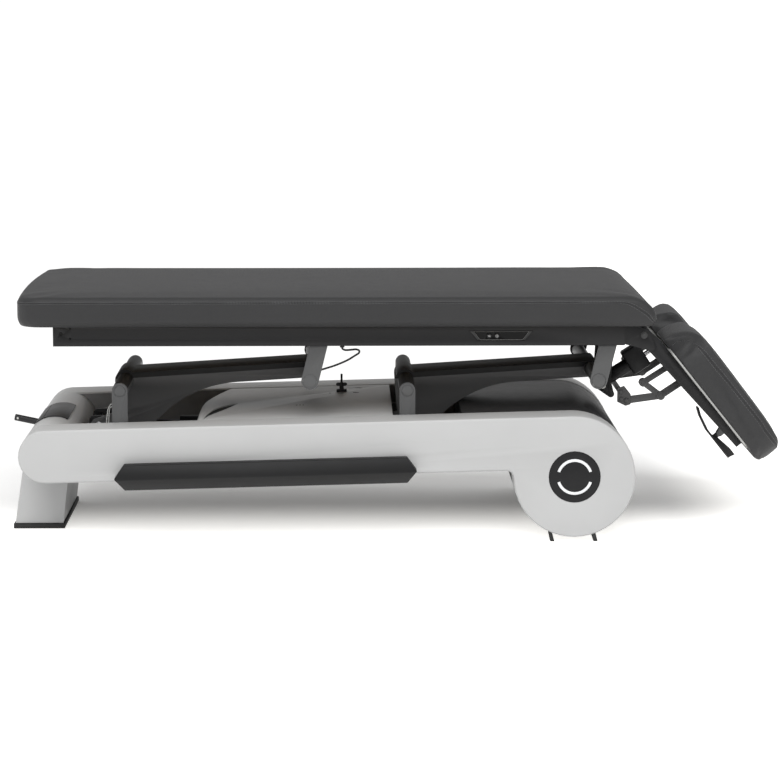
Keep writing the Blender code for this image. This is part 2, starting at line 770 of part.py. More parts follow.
def cover_band(start, end, tail):
    """Part of the cover round the disc axis, from one angle to another."""
    disc = Vector((0.0, DISC_Z))
    outer, inner = DISC_RADIUS - 0.001, DISC_RADIUS - 0.001 - COVER_WALL
    count = max(6, round(abs(end - start) / math.radians(8)))
    if tail:
        edge = Vector(top_line(COVER_START, 0.001))
        points = [tuple(edge)]
        points += [tuple(edge - UP * 0.070), tuple(edge - UP * 0.070 + RISE * COVER_WALL)]
        points.append(tuple(edge - UP * COVER_WALL + RISE * COVER_WALL))
        points += arc(disc, inner, start, end, count) + arc(disc, outer, end, start, count)
        return points
    return arc(disc, inner, start, end, count) + arc(disc, outer, end, start, count)


def rear_cover():
    points = cover_band(math.pi / 2 + BEAM_RISE, COVER_SPLIT, True)
    return plate(points, 2 * (INNER - SEAT), 0.0)


def rear_undertray():
    start = COVER_SPLIT - SEAT / DISC_RADIUS
    points = cover_band(start, math.radians(-186), False)
    return plate(points, 2 * (INNER - SEAT), 0.0)


def arm_outline():
    """Side of a lift arm, on its pivots' line, lower pivot at (0, 0)."""
    eye = lever_eye()
    top = ARM_ABOVE_AXIS
    lift = math.asin(top / HUB_BOSS)
    points = arc((0.0, 0.0), HUB_BOSS, lift, math.pi, 10)
    points.append((-HUB_BOSS, -0.070))
    points += arc(eye, LEVER_BOSS, math.radians(125), math.radians(270), 10)
    points.append((0.040, eye[1] - LEVER_BOSS))
    centre = (GUSSET_TANGENT, -ARM_BELOW_AXIS - GUSSET_RADIUS)
    meet = math.pi - math.asin((GUSSET_RADIUS + ARM_BELOW_AXIS - GUSSET_DEPTH) / GUSSET_RADIUS)
    points += arc(centre, GUSSET_RADIUS, meet, math.pi / 2, 10)
    points += arc((ARM_LENGTH, 0.0), END_BOSS, -math.pi / 2, math.asin(top / END_BOSS), 10)
    return points


def lever_eye():
    """The roller's place on the pivots' line: it hangs down and footwards at rest."""
    angle = -math.pi / 2 - LEVER_ANGLE - ARM_REST
    return LEVER_LENGTH * math.cos(angle), LEVER_LENGTH * math.sin(angle)


def placed_arm(points, pivot_x):
    """Turn points on the arm's line to its rest angle at its lower pivot."""
    moved = [(x + pivot_x, z + PIVOT_HEIGHT) for x, z in points]
    return turned_about(moved, (pivot_x, PIVOT_HEIGHT), ARM_REST)


def lift_arm(pivot_x):
    """Folded steel arm: two side plates under one top plate, and its pivot tube."""
    ends = placed_arm([(0.0, 0.0), (ARM_LENGTH, 0.0)], pivot_x)
    holes = [circle(ends[1], PIVOT_TUBE_RADIUS - 0.0025)]
    holes.append(circle(placed_arm([lever_eye()], pivot_x)[0], ROLLER_RADIUS + SEAT, 16))
    arm = plate(placed_arm(arm_outline(), pivot_x), ARM_WIDTH, 0.0, holes)
    lid = ARM_ABOVE_AXIS - ARM_WALL
    inside = [(-0.2, lid), (-0.2, -0.3), (ARM_LENGTH + 0.2, -0.3), (ARM_LENGTH + 0.2, lid)]
    hollow = plate(placed_arm(inside, pivot_x), ARM_WIDTH - 2 * ARM_WALL, 0.0)
    arm = combined(arm, [hollow])
    half = POST_CENTRE - POST_THICKNESS / 2 - RUNNING
    arm = joined([arm, cross_rod(PIVOT_TUBE_RADIUS, pivot_x, PIVOT_HEIGHT, half)])
    return combined(arm, [cross_rod(SHAFT_RADIUS + SEAT, pivot_x, PIVOT_HEIGHT, half * 1.1)])


def upper_pivot(pivot_x):
    return placed_arm([(ARM_LENGTH, 0.0)], pivot_x)[0]


def upper_shaft(pivot_x):
    """Tube through the arm's upper end and the frame's two brackets."""
    x, z = upper_pivot(pivot_x)
    half = BRACKET_CENTRE + BRACKET_THICKNESS / 2
    return cross_rod(PIVOT_TUBE_RADIUS - 0.0025 - SEAT, x, z, half)


def post_frame(back):
    """Two posts with round heads on one foot plate that lies on the base floor."""
    centre = (-back, PIVOT_HEIGHT)
    floor = FLOOR_ABOVE_BEAM + FLOOR_PLATE + SEAT
    middle = along_beam(back, floor + POST_FOOT[1] / 2)
    half = POST_WIDTH / 2
    points = arc(centre, half, 0.0, math.pi, 14)
    points += [(-back - half, middle[1]), (-back + half, middle[1])]
    bore = circle(centre, SHAFT_RADIUS + SEAT)
    size = (POST_FOOT[0], 2 * POST_CENTRE + POST_THICKNESS, POST_FOOT[1])
    foot = block(size, (middle[0], 0.0, middle[1]), BEAM_RISE)
    return joined([foot, *(plate(points, POST_THICKNESS, side * POST_CENTRE, [bore]) for side in (-1, 1))])


def pivot_shaft(back):
    half = POST_CENTRE + POST_THICKNESS / 2
    return cross_rod(SHAFT_RADIUS, -back, PIVOT_HEIGHT, half)


def spindle_height():
    """Midway between the roller's highest and lowest places."""
    ends = PIVOT_HEIGHT - LEVER_LENGTH * math.cos(LEVER_ANGLE)
    return (ends + PIVOT_HEIGHT - LEVER_LENGTH) / 2


def roller_place():
    return placed_arm([lever_eye()], -FOOT_PIVOT)[0]


def lift_yoke():
    """Two slotted plates on the spindle tube's end, which push the arm's roller."""
    x, z = roller_place()[0], spindle_height()
    rise = (LEVER_LENGTH - LEVER_LENGTH * math.cos(LEVER_ANGLE)) / 2
    slot_half = ROLLER_RADIUS + ROLLER_PLAY
    slot = rounded_rectangle((x, z), (2 * slot_half, 2 * (slot_half + rise)), slot_half - 0.0002, 6)
    outline = rounded_rectangle((x + YOKE_BLOCK / 2, z), (YOKE_SIZE[0] + YOKE_BLOCK, YOKE_SIZE[1]), 0.010)
    centre = YOKE_HALF_WIDTH - YOKE_PLATE / 2
    cheeks = [plate(outline, YOKE_PLATE, side * centre, [slot]) for side in (-1, 1)]
    bridge_x = x + YOKE_SIZE[0] / 2 + YOKE_BLOCK / 2
    bridge = block((YOKE_BLOCK, 2 * YOKE_HALF_WIDTH - YOKE_PLATE, 0.030), (bridge_x, 0.0, z))
    start = yoke_end()
    tube = rod(SPINDLE_RADIUS, (start - 0.005, 0.0, z), (-HOUSING_END - SPINDLE_STOP, 0.0, z), 24)
    return joined([bridge, *cheeks, tube])


def yoke_end():
    return roller_place()[0] + YOKE_SIZE[0] / 2 + YOKE_BLOCK


def foot_roller():
    x, z = roller_place()
    return cross_rod(ROLLER_RADIUS, x, z, ARM_WIDTH / 2, 0.0, 16)


def lift_drive():
    """Spindle housing on two saddles, with its gear motor at the far end."""
    height = spindle_height()
    housing = rod(HOUSING_RADIUS, (-HOUSING_START, 0.0, height), (-HOUSING_END, 0.0, height), 24)
    size = LIFT_MOTOR
    centre = (-HOUSING_END - 0.004 + size[0] / 2, 0.0, height - 0.003)
    motor = bevelled(block(size, centre), 0.006, 2)
    body = joined([housing, motor, *lift_saddles()])
    bore = rod(SPINDLE_RADIUS + SEAT, (-HOUSING_START - 0.02, 0.0, height),
               (-HOUSING_END - 0.0035, 0.0, height), 24)
    return combined(body, [bore])


def lift_saddles():
    """Supports from the floor plate up to the spindle housing."""
    saddles = []
    for back in (HOUSING_START - 0.040, HOUSING_END + 0.060):
        foot = along_beam(back, FLOOR_ABOVE_BEAM + FLOOR_PLATE + SEAT)[1]
        half = SADDLE_WIDTH / 2
        top = spindle_height() - 0.004
        size = (half * 2, 2 * HOUSING_RADIUS + 0.016, top - foot - half * math.tan(BEAM_RISE))
        saddles.append(block(size, (-back, 0.0, top - size[2] / 2)))
    return saddles


def foot_bar(side):
    """Faceted bar with pointed ends, and two studs into the beam's slots."""
    centre = Vector(along_beam(BAR_CENTRE, BAR_DROP - BAR_HALF_HEIGHT))
    half, point = BAR_LENGTH / 2, BAR_POINT
    high, low = BAR_HALF_HEIGHT, -BAR_HALF_HEIGHT
    front = [(-half, 0.0), (-half + point, low), (half - point, low),
             (half, 0.0), (half - point, high), (-half + point, high)]
    outline = [tuple(centre + RISE * x + UP * z) for x, z in front]
    face = side * (HALF_WIDTH + SEAT)
    reach = BAR_PROJECTION
    body = plate(outline, reach, face + side * reach / 2)
    roof = [(0.0, high + 0.01), (0.0, low - 0.01), (0.012, low), (reach, -0.002),
            (reach - 0.009, high), (reach - 0.009, high + 0.01)]
    profile = [(face + side * depth, z) for depth, z in roof]
    wedge = section(profile, BAR_LENGTH * 1.2)
    wedge.data.transform(Matrix.Translation((centre.x, 0.0, centre.y)) @ Matrix.Rotation(-BEAM_RISE, 4, "Y"))
    cleaned(wedge.data)
    bar = combined(body, [wedge], "INTERSECT")
    studs = []
    for x, z in bar_studs():
        stud = rod(BAR_STUD_RADIUS, (x, face + side * 0.006, z), (x, face - side * 0.016, z), 16)
        studs.append(stud)
    return combined(bar, studs, "UNION")


def pedal():
    """Round rod with a domed tip, pivoted inside the cross hull."""
    root, z = pedal_pivot()
    reach = root - (FOOT_CENTRE.x - BEAM_RADIUS - PEDAL_REACH)
    tip = (root - reach, PEDAL_OFFSET, z + reach * math.tan(PEDAL_LEAN))
    bar = bevelled(rod(PEDAL_RADIUS, tip, (root, PEDAL_OFFSET, z), 20), 0.002, 2)
    boss = cross_rod(PEDAL_RADIUS + 0.001, root, z, PEDAL_SLOT / 2 - SEAT, PEDAL_OFFSET, 20)
    return combined(bar, [boss], "UNION")


def pedal_pivot():
    return FOOT_CENTRE.x - 0.012, FOOT_CENTRE.y + PEDAL_HEIGHT


def rail(side):
    """Rectangular tube; the near one is cut for the control panel."""
    centre = (side * (RAIL_OUTER - RAIL_WIDTH / 2), (FRAME_BOTTOM + FRAME_TOP) / 2)
    outer = rounded_rectangle(centre, (RAIL_WIDTH, RAIL_HEIGHT), RAIL_WALL * 0.8, 2)
    inner_size = (RAIL_WIDTH - 2 * RAIL_WALL, RAIL_HEIGHT - 2 * RAIL_WALL)
    inner = rounded_rectangle(centre, inner_size, 0.001, 1)
    tube = section(outer, FRAME_FOOT + FRAME_HEAD, (FRAME_HEAD - FRAME_FOOT) / 2, [inner])
    face = side * RAIL_OUTER
    holes = [(0.017, 0.0045, 0.0), (0.0375, 0.0022, 0.0115), (0.0375, 0.0022, -0.0105)]
    middle = (FRAME_BOTTOM + FRAME_TOP) / 2 + 0.0045
    cutters = [cross_rod(radius, -FRAME_FOOT + x, middle + z, 2 * RAIL_WALL, face, 16)
               for x, radius, z in holes]
    if side < 0:
        cutters.append(plate(panel_outline(SEAT), 4 * RAIL_WALL, face))
    return combined(tube, cutters)


def panel_outline(clearance):
    """Tapered outline of the control panel, with round corners."""
    top = PANEL_TOP_WIDTH / 2 + clearance
    bottom = PANEL_BOTTOM_WIDTH / 2 + clearance
    half = PANEL_HEIGHT / 2 + clearance
    x, z = -PANEL_CENTRE, FRAME_BOTTOM + PANEL_RAISE
    return [(x - bottom, z - half), (x + bottom, z - half), (x + top, z + half), (x - top, z + half)]


def button_places():
    z = FRAME_BOTTOM + PANEL_RAISE
    middle = -PANEL_CENTRE + BUTTON_OFFSET
    return [(middle - BUTTON_SPACING / 2, z), (middle + BUTTON_SPACING / 2, z)]


def control_panel():
    """Panel in the near rail, with a hole for each button."""
    holes = [circle(place, BUTTON_RADIUS + SEAT) for place in button_places()]
    face = -RAIL_OUTER - 0.0005
    return plate(panel_outline(0.0), PANEL_THICKNESS, face + PANEL_THICKNESS / 2, holes)


def button(place):
    face = -RAIL_OUTER - 0.0012 - BUTTON_TRAVEL
    return rod(BUTTON_RADIUS, (place[0], face, place[1]), (place[0], face + 0.006, place[1]), 20)


def frame_cross_members():
    half = RAIL_OUTER - RAIL_WIDTH + RAIL_WALL / 2
    members = []
    z = FRAME_TOP - CROSS_HEIGHT / 2 - 0.002
    for x in cross_places():
        members.append(block((CROSS_WIDTH, 2 * half, CROSS_HEIGHT), (x, 0.0, z)))
    return members


def top_frame():
    """Two rails with four cross members and the hinge ears, welded together."""
    near, far = rail(-1), rail(1)
    size = (0.004, RAIL_WIDTH - 0.001, RAIL_HEIGHT - 0.001)
    middle = (FRAME_BOTTOM + FRAME_TOP) / 2
    plugs = [block(size, (FRAME_HEAD, side * (RAIL_OUTER - RAIL_WIDTH / 2), middle)) for side in (-1, 1)]
    return joined([near, far, *frame_cross_members(), *plugs, *hinge_ears()])


def cross_places():
    """Centres of the frame's four cross members."""
    upper = upper_pivot(-FOOT_PIVOT)[0]
    return [-FRAME_FOOT + 0.050, upper + 0.045, upper_pivot(-HEAD_PIVOT)[0] - 0.060,
            FRAME_HEAD - CROSS_WIDTH / 2 - 0.003]


def arm_bracket(pivot_x, side):
    """Leaning plate under a rail, with a round lower end."""
    x, z = upper_pivot(pivot_x)
    half = BRACKET_WIDTH / 2
    reach = FRAME_BOTTOM - SEAT - z
    shift = reach * math.tan(BRACKET_LEAN)
    across = half / math.cos(BRACKET_LEAN)
    points = [(x + shift + across, z + reach), (x + shift - across, z + reach)]
    start = math.pi - BRACKET_LEAN
    points += arc((x, z), half, start, start + math.pi, 14)
    bore = circle((x, z), PIVOT_TUBE_RADIUS - 0.0025)
    bracket = plate(points, BRACKET_THICKNESS, side * BRACKET_CENTRE, [bore])
    if pivot_x == -FOOT_PIVOT and side < 0:
        bracket = joined([bracket, cable_clip()])
    return bracket


def ear_centre():
    return HEAD_PLATE_CENTRE + HEAD_PLATE_THICKNESS / 2 + EAR_GAP + EAR_THICKNESS / 2


def hinge_ears():
    """Plates welded to the rail ends, with the hinge bore and a stop bolt's corner."""
    start = FRAME_HEAD - 0.001
    hinge = (HINGE_X, HINGE_HEIGHT)
    points = [(start, FRAME_TOP - 0.0015), (start, FRAME_BOTTOM + 0.0015)]
    points += [(HINGE_X - 0.012, FRAME_BOTTOM - 0.007), (HINGE_X + 0.012, FRAME_BOTTOM - 0.014)]
    points += arc((HINGE_X + 0.0185, FRAME_BOTTOM - 0.0065), 0.0075, math.radians(-70), math.radians(50), 6)
    points += arc(hinge, HINGE_BOSS, math.radians(20), math.radians(100), 6)
    bore = circle(hinge, HINGE_PIN_RADIUS + SEAT, 20)
    return [plate(points, EAR_THICKNESS, side * ear_centre(), [bore]) for side in (-1, 1)]


def hinge_pin(side):
    """A pin through an ear and the head section's plate."""
    inner = side * (HEAD_PLATE_CENTRE - HEAD_PLATE_THICKNESS / 2 - 0.002)
    outer = side * (ear_centre() + EAR_THICKNESS / 2 + 0.0005)
    return rod(HINGE_PIN_RADIUS, (HINGE_X, inner, HINGE_HEIGHT), (HINGE_X, outer, HINGE_HEIGHT), 20)


def mattress_outline():
    """Side view of the mattress: square foot end, long round nose at the head."""
    bottom, top = MATTRESS_BOTTOM, MATTRESS_BOTTOM + MATTRESS_THICKNESS
    foot, head = -MATTRESS_FOOT, MATTRESS_HEAD
    soft = 0.020
    points = [(head - 0.004, bottom)]
    belt = bottom + 0.015
    steps = 10
    for index in range(steps + 1):
        angle = math.pi / 2 * index / steps
        points.append((head - NOSE_LENGTH + NOSE_LENGTH * math.cos(angle),
                       belt + (top - belt) * math.sin(angle)))
    points += arc((foot + soft, top - soft), soft, math.pi / 2, math.pi, 5)
    points += arc((foot + 0.008, bottom + 0.008), 0.008, math.pi, 3 * math.pi / 2, 3)
    return points


def board_size():
    length = MATTRESS_FOOT + MATTRESS_HEAD - NOSE_LENGTH - BOARD_MARGIN
    centre = (-MATTRESS_FOOT + BOARD_MARGIN + length / 2, 0.0)
    return centre, (length, MATTRESS_WIDTH - 2 * BOARD_MARGIN)


def mattress_board():
    centre, size = board_size()
    outline = rounded_rectangle(centre, size, 0.020, 4)
    return sheet(outline, BOARD_THICKNESS, MATTRESS_BOTTOM + BOARD_THICKNESS / 2)


def mattress():
    """Upholstered slab with a pocket for its board."""
    body = bevelled(plate(mattress_outline(), MATTRESS_WIDTH, 0.0), MATTRESS_EDGE, 3, 40)
    centre, size = board_size()
    play = 2 * SEAT
    outline = rounded_rectangle(centre, (size[0] + play, size[1] + play), 0.020, 4)
    pocket = sheet(outline, 2 * (BOARD_THICKNESS + SEAT), MATTRESS_BOTTOM)
    return combined(body, [pocket])


def notched(start, end, width, corner, notch, depth):
    """Plan of the head section: a round-cornered board with a notch at its hinge end."""
    half, opening = width / 2, notch / 2
    points = arc((end - corner, half - corner), corner, 0.0, math.pi / 2, 6)[::-1]
    points = [(x, -y) for x, y in points]
    points += arc((end - corner, half - corner), corner, 0.0, math.pi / 2, 6)
    points += arc((start + corner, half - corner), corner, math.pi / 2, math.pi, 6)
    lip = 0.015
    points += arc((start + lip, opening + lip), lip, math.pi, 3 * math.pi / 2, 4)
    points += arc((start + depth - opening, 0.0), opening, math.pi / 2, -math.pi / 2, 14)
    points += arc((start + lip, -opening - lip), lip, math.pi / 2, math.pi, 4)
    points += [(x, -y) for x, y in arc((start + corner, half - corner), corner, math.pi / 2, math.pi, 6)[::-1]]
    return points


def head_pad():
    outline = notched(HEAD_START, HEAD_END, HEAD_WIDTH, HEAD_CORNER, NOTCH_WIDTH, NOTCH_DEPTH)
    middle = HEAD_PAD_BOTTOM + HEAD_PAD_THICKNESS / 2
    return bevelled(sheet(outline, HEAD_PAD_THICKNESS, middle), HEAD_PAD_EDGE, 2, 50)


def head_board():
    outline = notched(HEAD_BOARD_START, HEAD_BOARD_END, HEAD_WIDTH - 0.010, 0.020,
                      NOTCH_WIDTH + 0.020, NOTCH_DEPTH + HEAD_START - HEAD_BOARD_START + 0.010)
    middle = HEAD_PAD_BOTTOM - SEAT - HEAD_BOARD_THICKNESS / 2
    return sheet(outline, HEAD_BOARD_THICKNESS, middle)


def board_underside():
    return HEAD_PAD_BOTTOM - 2 * SEAT - HEAD_BOARD_THICKNESS


def head_side_plates():
    """Two plates on edge under the board, each with a hinge boss."""
    top, end = board_underside(), HEAD_BOARD_END - 0.004
    points = [(end, top), (0.030, top)]
    points += arc((0.0, 0.0), HINGE_BOSS, math.radians(80), math.radians(262), 14)
    points += [(0.150, top - HEAD_PLATE_DEPTH), (end, top - HEAD_PLATE_DEPTH + HEAD_PLATE_TAPER)]
    bore = circle((0.0, 0.0), HINGE_PIN_RADIUS + SEAT, 20)
    return [plate(points, HEAD_PLATE_THICKNESS, side * HEAD_PLATE_CENTRE, [bore]) for side in (-1, 1)]


def head_cross_tubes():
    """Cross tubes between the side plates, with the actuator's lugs."""
    half = HEAD_PLATE_CENTRE
    top = board_underside()
    tubes = []
    for x in HEAD_TUBE_PLACES:
        z = top - HEAD_TUBE[1] / 2
        tubes.append(block((HEAD_TUBE[0], 2 * half, HEAD_TUBE[1]), (x, 0.0, z)))
    eye = Vector(ACTUATOR_EYE)
    near = HEAD_TUBE_PLACES[0] - HEAD_TUBE[0] / 2 + 0.002
    radius = EYE_RADIUS + 0.002
    outline = [(near, top - HEAD_TUBE[1]), (near, top)]
    outline += arc(eye, radius, math.radians(110), math.radians(262), 8)
    lugs = []
    for side in (-1, 1):
        y = side * (EYE_WIDTH / 2 + 0.0012 + LUG_PLATE / 2)
        lugs.append(plate(outline, LUG_PLATE, y))
    return [*tubes, *lugs]


def head_frame():
    """Side plates, cross tubes and actuator lugs, welded together."""
    return joined([*head_side_plates(), *head_cross_tubes()])


STRUT_ROOTS = (0.1015, 0.1470)
STRUT_KNEE = (0.0925, -0.0665)
ARM_KNEE = (0.1405, -0.0545)
ARM_TIP = (0.1010, -0.1205)


def head_struts():
    """Bent struts from the board down to the knee of the stop arms."""
    path = [(STRUT_ROOTS[0], board_underside() - 0.0015), STRUT_KNEE, ARM_KNEE]
    outline = strip(path, STRUT_BAND)
    y = STRUT_OFFSET + STRUT_PLATE - 0.001
    return [plate(outline, STRUT_PLATE, side * y) for side in (-1, 1)]


def tilt_lever_frame():
    """Struts and bent arms on both sides, with the stop rod across the tips."""
    path = [(STRUT_ROOTS[1], board_underside() - 0.0015), ARM_KNEE]
    tip = Vector(ARM_TIP) + (Vector(ARM_TIP) - Vector(ARM_KNEE)).normalized() * 0.010
    outline = strip([*path, tuple(tip)], STRUT_BAND + 0.003)
    arms = [plate(outline, STRUT_PLATE, side * STRUT_OFFSET) for side in (-1, 1)]
    stop = cross_rod(STOP_ROD_RADIUS, *ARM_TIP, STRUT_OFFSET + STRUT_PLATE / 2 + 0.008, 0.0, 16)
    bosses = [cross_rod(KNEE_BOSS, *knee, STRUT_PLATE + 0.0015, side * (STRUT_OFFSET + STRUT_PLATE / 2), 16)
              for side in (-1, 1) for knee in (STRUT_KNEE, ARM_KNEE)]
    frame = joined([stop, *arms, *head_struts(), *bosses])
    size = (HEAD_TUBE[0] + 2 * SEAT, 2 * HEAD_PLATE_CENTRE, HEAD_TUBE[1] * 2)
    top = board_underside()
    tube = block(size, (HEAD_TUBE_PLACES[0], 0.0, top - HEAD_TUBE[1] - SEAT + size[2] / 2))
    return combined(frame, [tube])


def tilt_hanger():
    """Two slanting plates from the frame's end down to the actuator's foot."""
    top = (FRAME_HEAD - CROSS_WIDTH / 2 + 0.008, FRAME_TOP - CROSS_HEIGHT - 0.002 - SEAT)
    foot = Vector(ACTUATOR_FOOT)
    half = 0.015
    points = [(top[0] + half, top[1]), (top[0] - half - 0.004, top[1])]
    points += arc(foot, half - 0.001, math.radians(165), math.radians(225), 4)
    tail = foot + Vector(HANGER_TAIL)
    points += arc(tail, HANGER_TAIL_RADIUS, math.radians(225), math.radians(400), 8)
    points.append((foot.x + half * 1.35, foot.y + half * 0.6))
    plates = [plate(points, HANGER_PLATE, side * HANGER_SPREAD) for side in (-1, 1)]
    pin = cross_rod(EYE_RADIUS - 0.005, foot.x, foot.y, HANGER_SPREAD + HANGER_PLATE / 2 + 0.003, 0.0, 16)
    return joined([pin, *plates])


def actuator_direction():
    eye = head_point(ACTUATOR_EYE)
    foot = Vector(ACTUATOR_FOOT)
    return (eye - foot).normalized(), (eye - foot).length


def head_point(place):
    """A point given in the head section's axes, in the table's axes at rest."""
    turned = turned_about([(place[0] + HINGE_X, place[1] + HINGE_HEIGHT)], (HINGE_X, HINGE_HEIGHT), -REST_TILT)
    return Vector(turned[0])


def at(distance, across=0.0):
    """A point on the actuator's line, as x, y, z."""
    along, _ = actuator_direction()
    point = Vector(ACTUATOR_FOOT) + along * distance + Vector((-along.y, along.x)) * across
    return point.x, 0.0, point.y


def tilt_actuator():
    """Actuator tube on a foot eye, with its motor round its head end."""
    start = 0.016
    along, _ = actuator_direction()
    angle = math.atan2(along.y, along.x)
    tube = rod(ACTUATOR_RADIUS, at(start), at(ACTUATOR_BODY), 24)
    foot = block((0.026, 2 * ACTUATOR_RADIUS - 0.004, 0.022), at(0.010), angle)
    motor = bevelled(block(TILT_MOTOR, at(TILT_MOTOR_PLACE, 0.004), angle), 0.005, 2)
    body = joined([tube, foot, motor])
    eye = cross_rod(EYE_RADIUS - 0.005 + SEAT, ACTUATOR_FOOT[0], ACTUATOR_FOOT[1], 0.03, 0.0, 16)
    bore = rod(ACTUATOR_ROD + SEAT, at(ACTUATOR_ROD_START - 0.004), at(ACTUATOR_BODY + 0.02), 20)
    return combined(body, [eye, bore])


def tilt_rod():
    """Actuator rod with its eye between the head section's lugs."""
    _, length = actuator_direction()
    shaft = rod(ACTUATOR_ROD, at(ACTUATOR_ROD_START), at(length - 0.002), 20)
    eye = at(length)
    ring = cross_rod(EYE_RADIUS, eye[0], eye[2], EYE_WIDTH / 2, 0.0, 20)
    return combined(shaft, [ring], "UNION")


def release_handle():
    """Bent squeeze bar on a short stalk."""
    path = [(0.222, -0.006), (0.240, -0.0135), (0.276, -0.0215), (0.356, -0.0215)]
    bar = bevelled(plate(strip(path, HANDLE_BAND), HANDLE_WIDTH, HANDLE_OFFSET), 0.0015, 1)
    cheek = [(0.288, -0.0215), (0.355, -0.0215), (0.3585, -0.0065), (0.344, -0.0065), (0.309, -0.0125)]
    spread = HANDLE_WIDTH / 2 - HANDLE_CHEEK / 2 - 0.0004
    cheeks = [plate(cheek, HANDLE_CHEEK, HANDLE_OFFSET + side * spread) for side in (-1, 1)]
    stalk = plate(strip([(HANDLE_PIVOT[0], -0.021), (HANDLE_PIVOT[0], HANDLE_PIVOT[1])], 0.010),
                  0.010, HANDLE_OFFSET)
    boss = cross_rod(0.0055, *HANDLE_PIVOT, 0.005, HANDLE_OFFSET, 16)
    return combined(bar, [stalk, boss, *cheeks], "UNION")


def handle_mount():
    """Two ears on a plate under the board, which hold the handle's stalk."""
    top = board_underside() - SEAT
    left, right = HANDLE_PIVOT[0] - 0.016, HANDLE_PIVOT[0] + 0.006
    points = [(left, top - 0.001), *arc(HANDLE_PIVOT, 0.007, math.pi, math.tau, 8), (right, top - 0.001)]
    ears = [plate(points, 0.004, HANDLE_OFFSET + side * 0.0075) for side in (-1, 1)]
    base = block((right - left + 0.020, 0.030, 0.003), ((left + right) / 2, HANDLE_OFFSET, top - 0.0015))
    return joined([base, *ears])


CABLE_ROUTE = [(0.0, 0.0), (0.001, -0.003), (0.006, -0.0055), (0.0135, -0.0056), (0.0217, -0.0048),
               (0.031, -0.0042), (0.0375, -0.0070), (0.0365, -0.0125), (0.028, -0.0180),
               (0.0109, -0.0285), (-0.0152, -0.0395), (-0.036, -0.0462), (-0.0505, -0.0505)]
CABLE_BACK = FOOT_PIVOT - 0.491
CABLE_OFFSET = -0.262


def smooth(points, pieces):
    """Points on a smooth curve through a route's own points."""
    path = [Vector(point) for point in points]
    result = []
    for index in range(len(path) - 1):
        before = path[max(index - 1, 0)]
        start, end = path[index], path[index + 1]
        after = path[min(index + 2, len(path) - 1)]
        for step in range(pieces):
            t = step / pieces
            result.append(0.5 * ((2 * start) + (end - before) * t
                                 + (2 * before - 5 * start + 4 * end - after) * t * t
                                 + (3 * start - before - 3 * end + after) * t ** 3))
    result.append(path[-1])
    return result


def cable_points():
    start = (-CABLE_BACK, CABLE_OFFSET, FRAME_BOTTOM - SEAT - 0.006 - SEAT)
    return [(start[0] + x, start[1], start[2] + z) for x, z in CABLE_ROUTE]


def panel_cable():
    """Cable loop from the rail's gland to the clip on the bracket."""
    curve = bpy.data.curves.new("cable", "CURVE")
    curve.dimensions = "3D"
    curve.bevel_depth = CABLE_RADIUS
    curve.bevel_resolution = 2
    curve.use_fill_caps = True
    points = smooth(cable_points(), 2)
    spline = curve.splines.new("POLY")
    spline.points.add(len(points) - 1)
    for target, point in zip(spline.points, points):
        target.co = (*point, 1.0)
    item = loose("cable", curve)
    bpy.context.view_layer.update()
    mesh = evaluated_mesh(item)
    remove(item)
    return loose("cable", cleaned(mesh, plain=False))


def cable_gland():
    """Gland under the near rail, where the cable comes out."""
    start = cable_points()[0]
    top = FRAME_BOTTOM - SEAT
    return rod(GLAND_RADIUS, (start[0], start[1], top), (start[0], start[1], top - 0.006), 16)


def cable_clip():
    """Round socket on the near foot-side bracket, where the cable ends."""
    end, before = Vector(cable_points()[-1]), Vector(cable_points()[-2])
    along = (end - before).normalized()
    middle = end + along * 0.006
    socket = rod(CABLE_RADIUS + 0.002, end + along * SEAT, end + along * 0.012, 16)
    stem = cross_rod(0.0035, middle.x, middle.z, 0.009, middle.y - 0.008, 16)
    return joined([socket, stem])


def build_base(root):
    """Everything that stands still on the floor."""
    for name, side in (("near", -1), ("far", 1)):
        settle(side_shell(side), name + "_side_shell", LIGHT_GREY, root)
        settle(hub_cover(side), name + "_hub_cover", DARK_GREY, root)
        settle(light_ring(side), name + "_light_ring", GLOW, root)
        settle(levelling_foot(side, -FOOT_SPREAD), name + "_foot_left", RUBBER, root)
        settle(levelling_foot(side, FOOT_SPREAD), name + "_foot_right", RUBBER, root)
    settle(base_chassis(), "base_chassis", DARK_GREY, root)
    settle(foot_cross_hull(), "foot_cross_hull", LIGHT_GREY, root)
    settle(hatch("upper"), "hatch_upper", DARK_GREY, root)
    settle(hatch("lower"), "hatch_lower", DARK_GREY, root)
    settle(leg(), "leg", LIGHT_GREY, root)
    settle(leg_pad(), "leg_pad", RUBBER, root)
    settle(inlet_box(), "inlet_box", BLACK_PLASTIC, root)
    settle(base_deck(), "base_deck", LIGHT_GREY, root)
    settle(deck_clamp(), "deck_clamp", BLACK_STEEL, root)
    settle(rear_cover(), "rear_cover", DARK_GREY, root)
    settle(rear_undertray(), "rear_undertray", DARK_GREY, root)
    for name, back in (("foot", FOOT_PIVOT), ("head", HEAD_PIVOT)):
        settle(post_frame(back), name + "_post_frame", STEEL_GREY, root)
        settle(pivot_shaft(back), name + "_pivot_shaft", BRIGHT_STEEL, root)
    settle(lift_drive(), "lift_drive", BLACK_STEEL, root)
    box_back = (HOUSING_START + HOUSING_END) / 2
    box_y = HOUSING_RADIUS + 0.025 + CONTROL_BOX[1] / 2
    settle(bevelled(on_floor(box_back, CONTROL_BOX, box_y), 0.004, 1), "control_box", BLACK_PLASTIC, root)


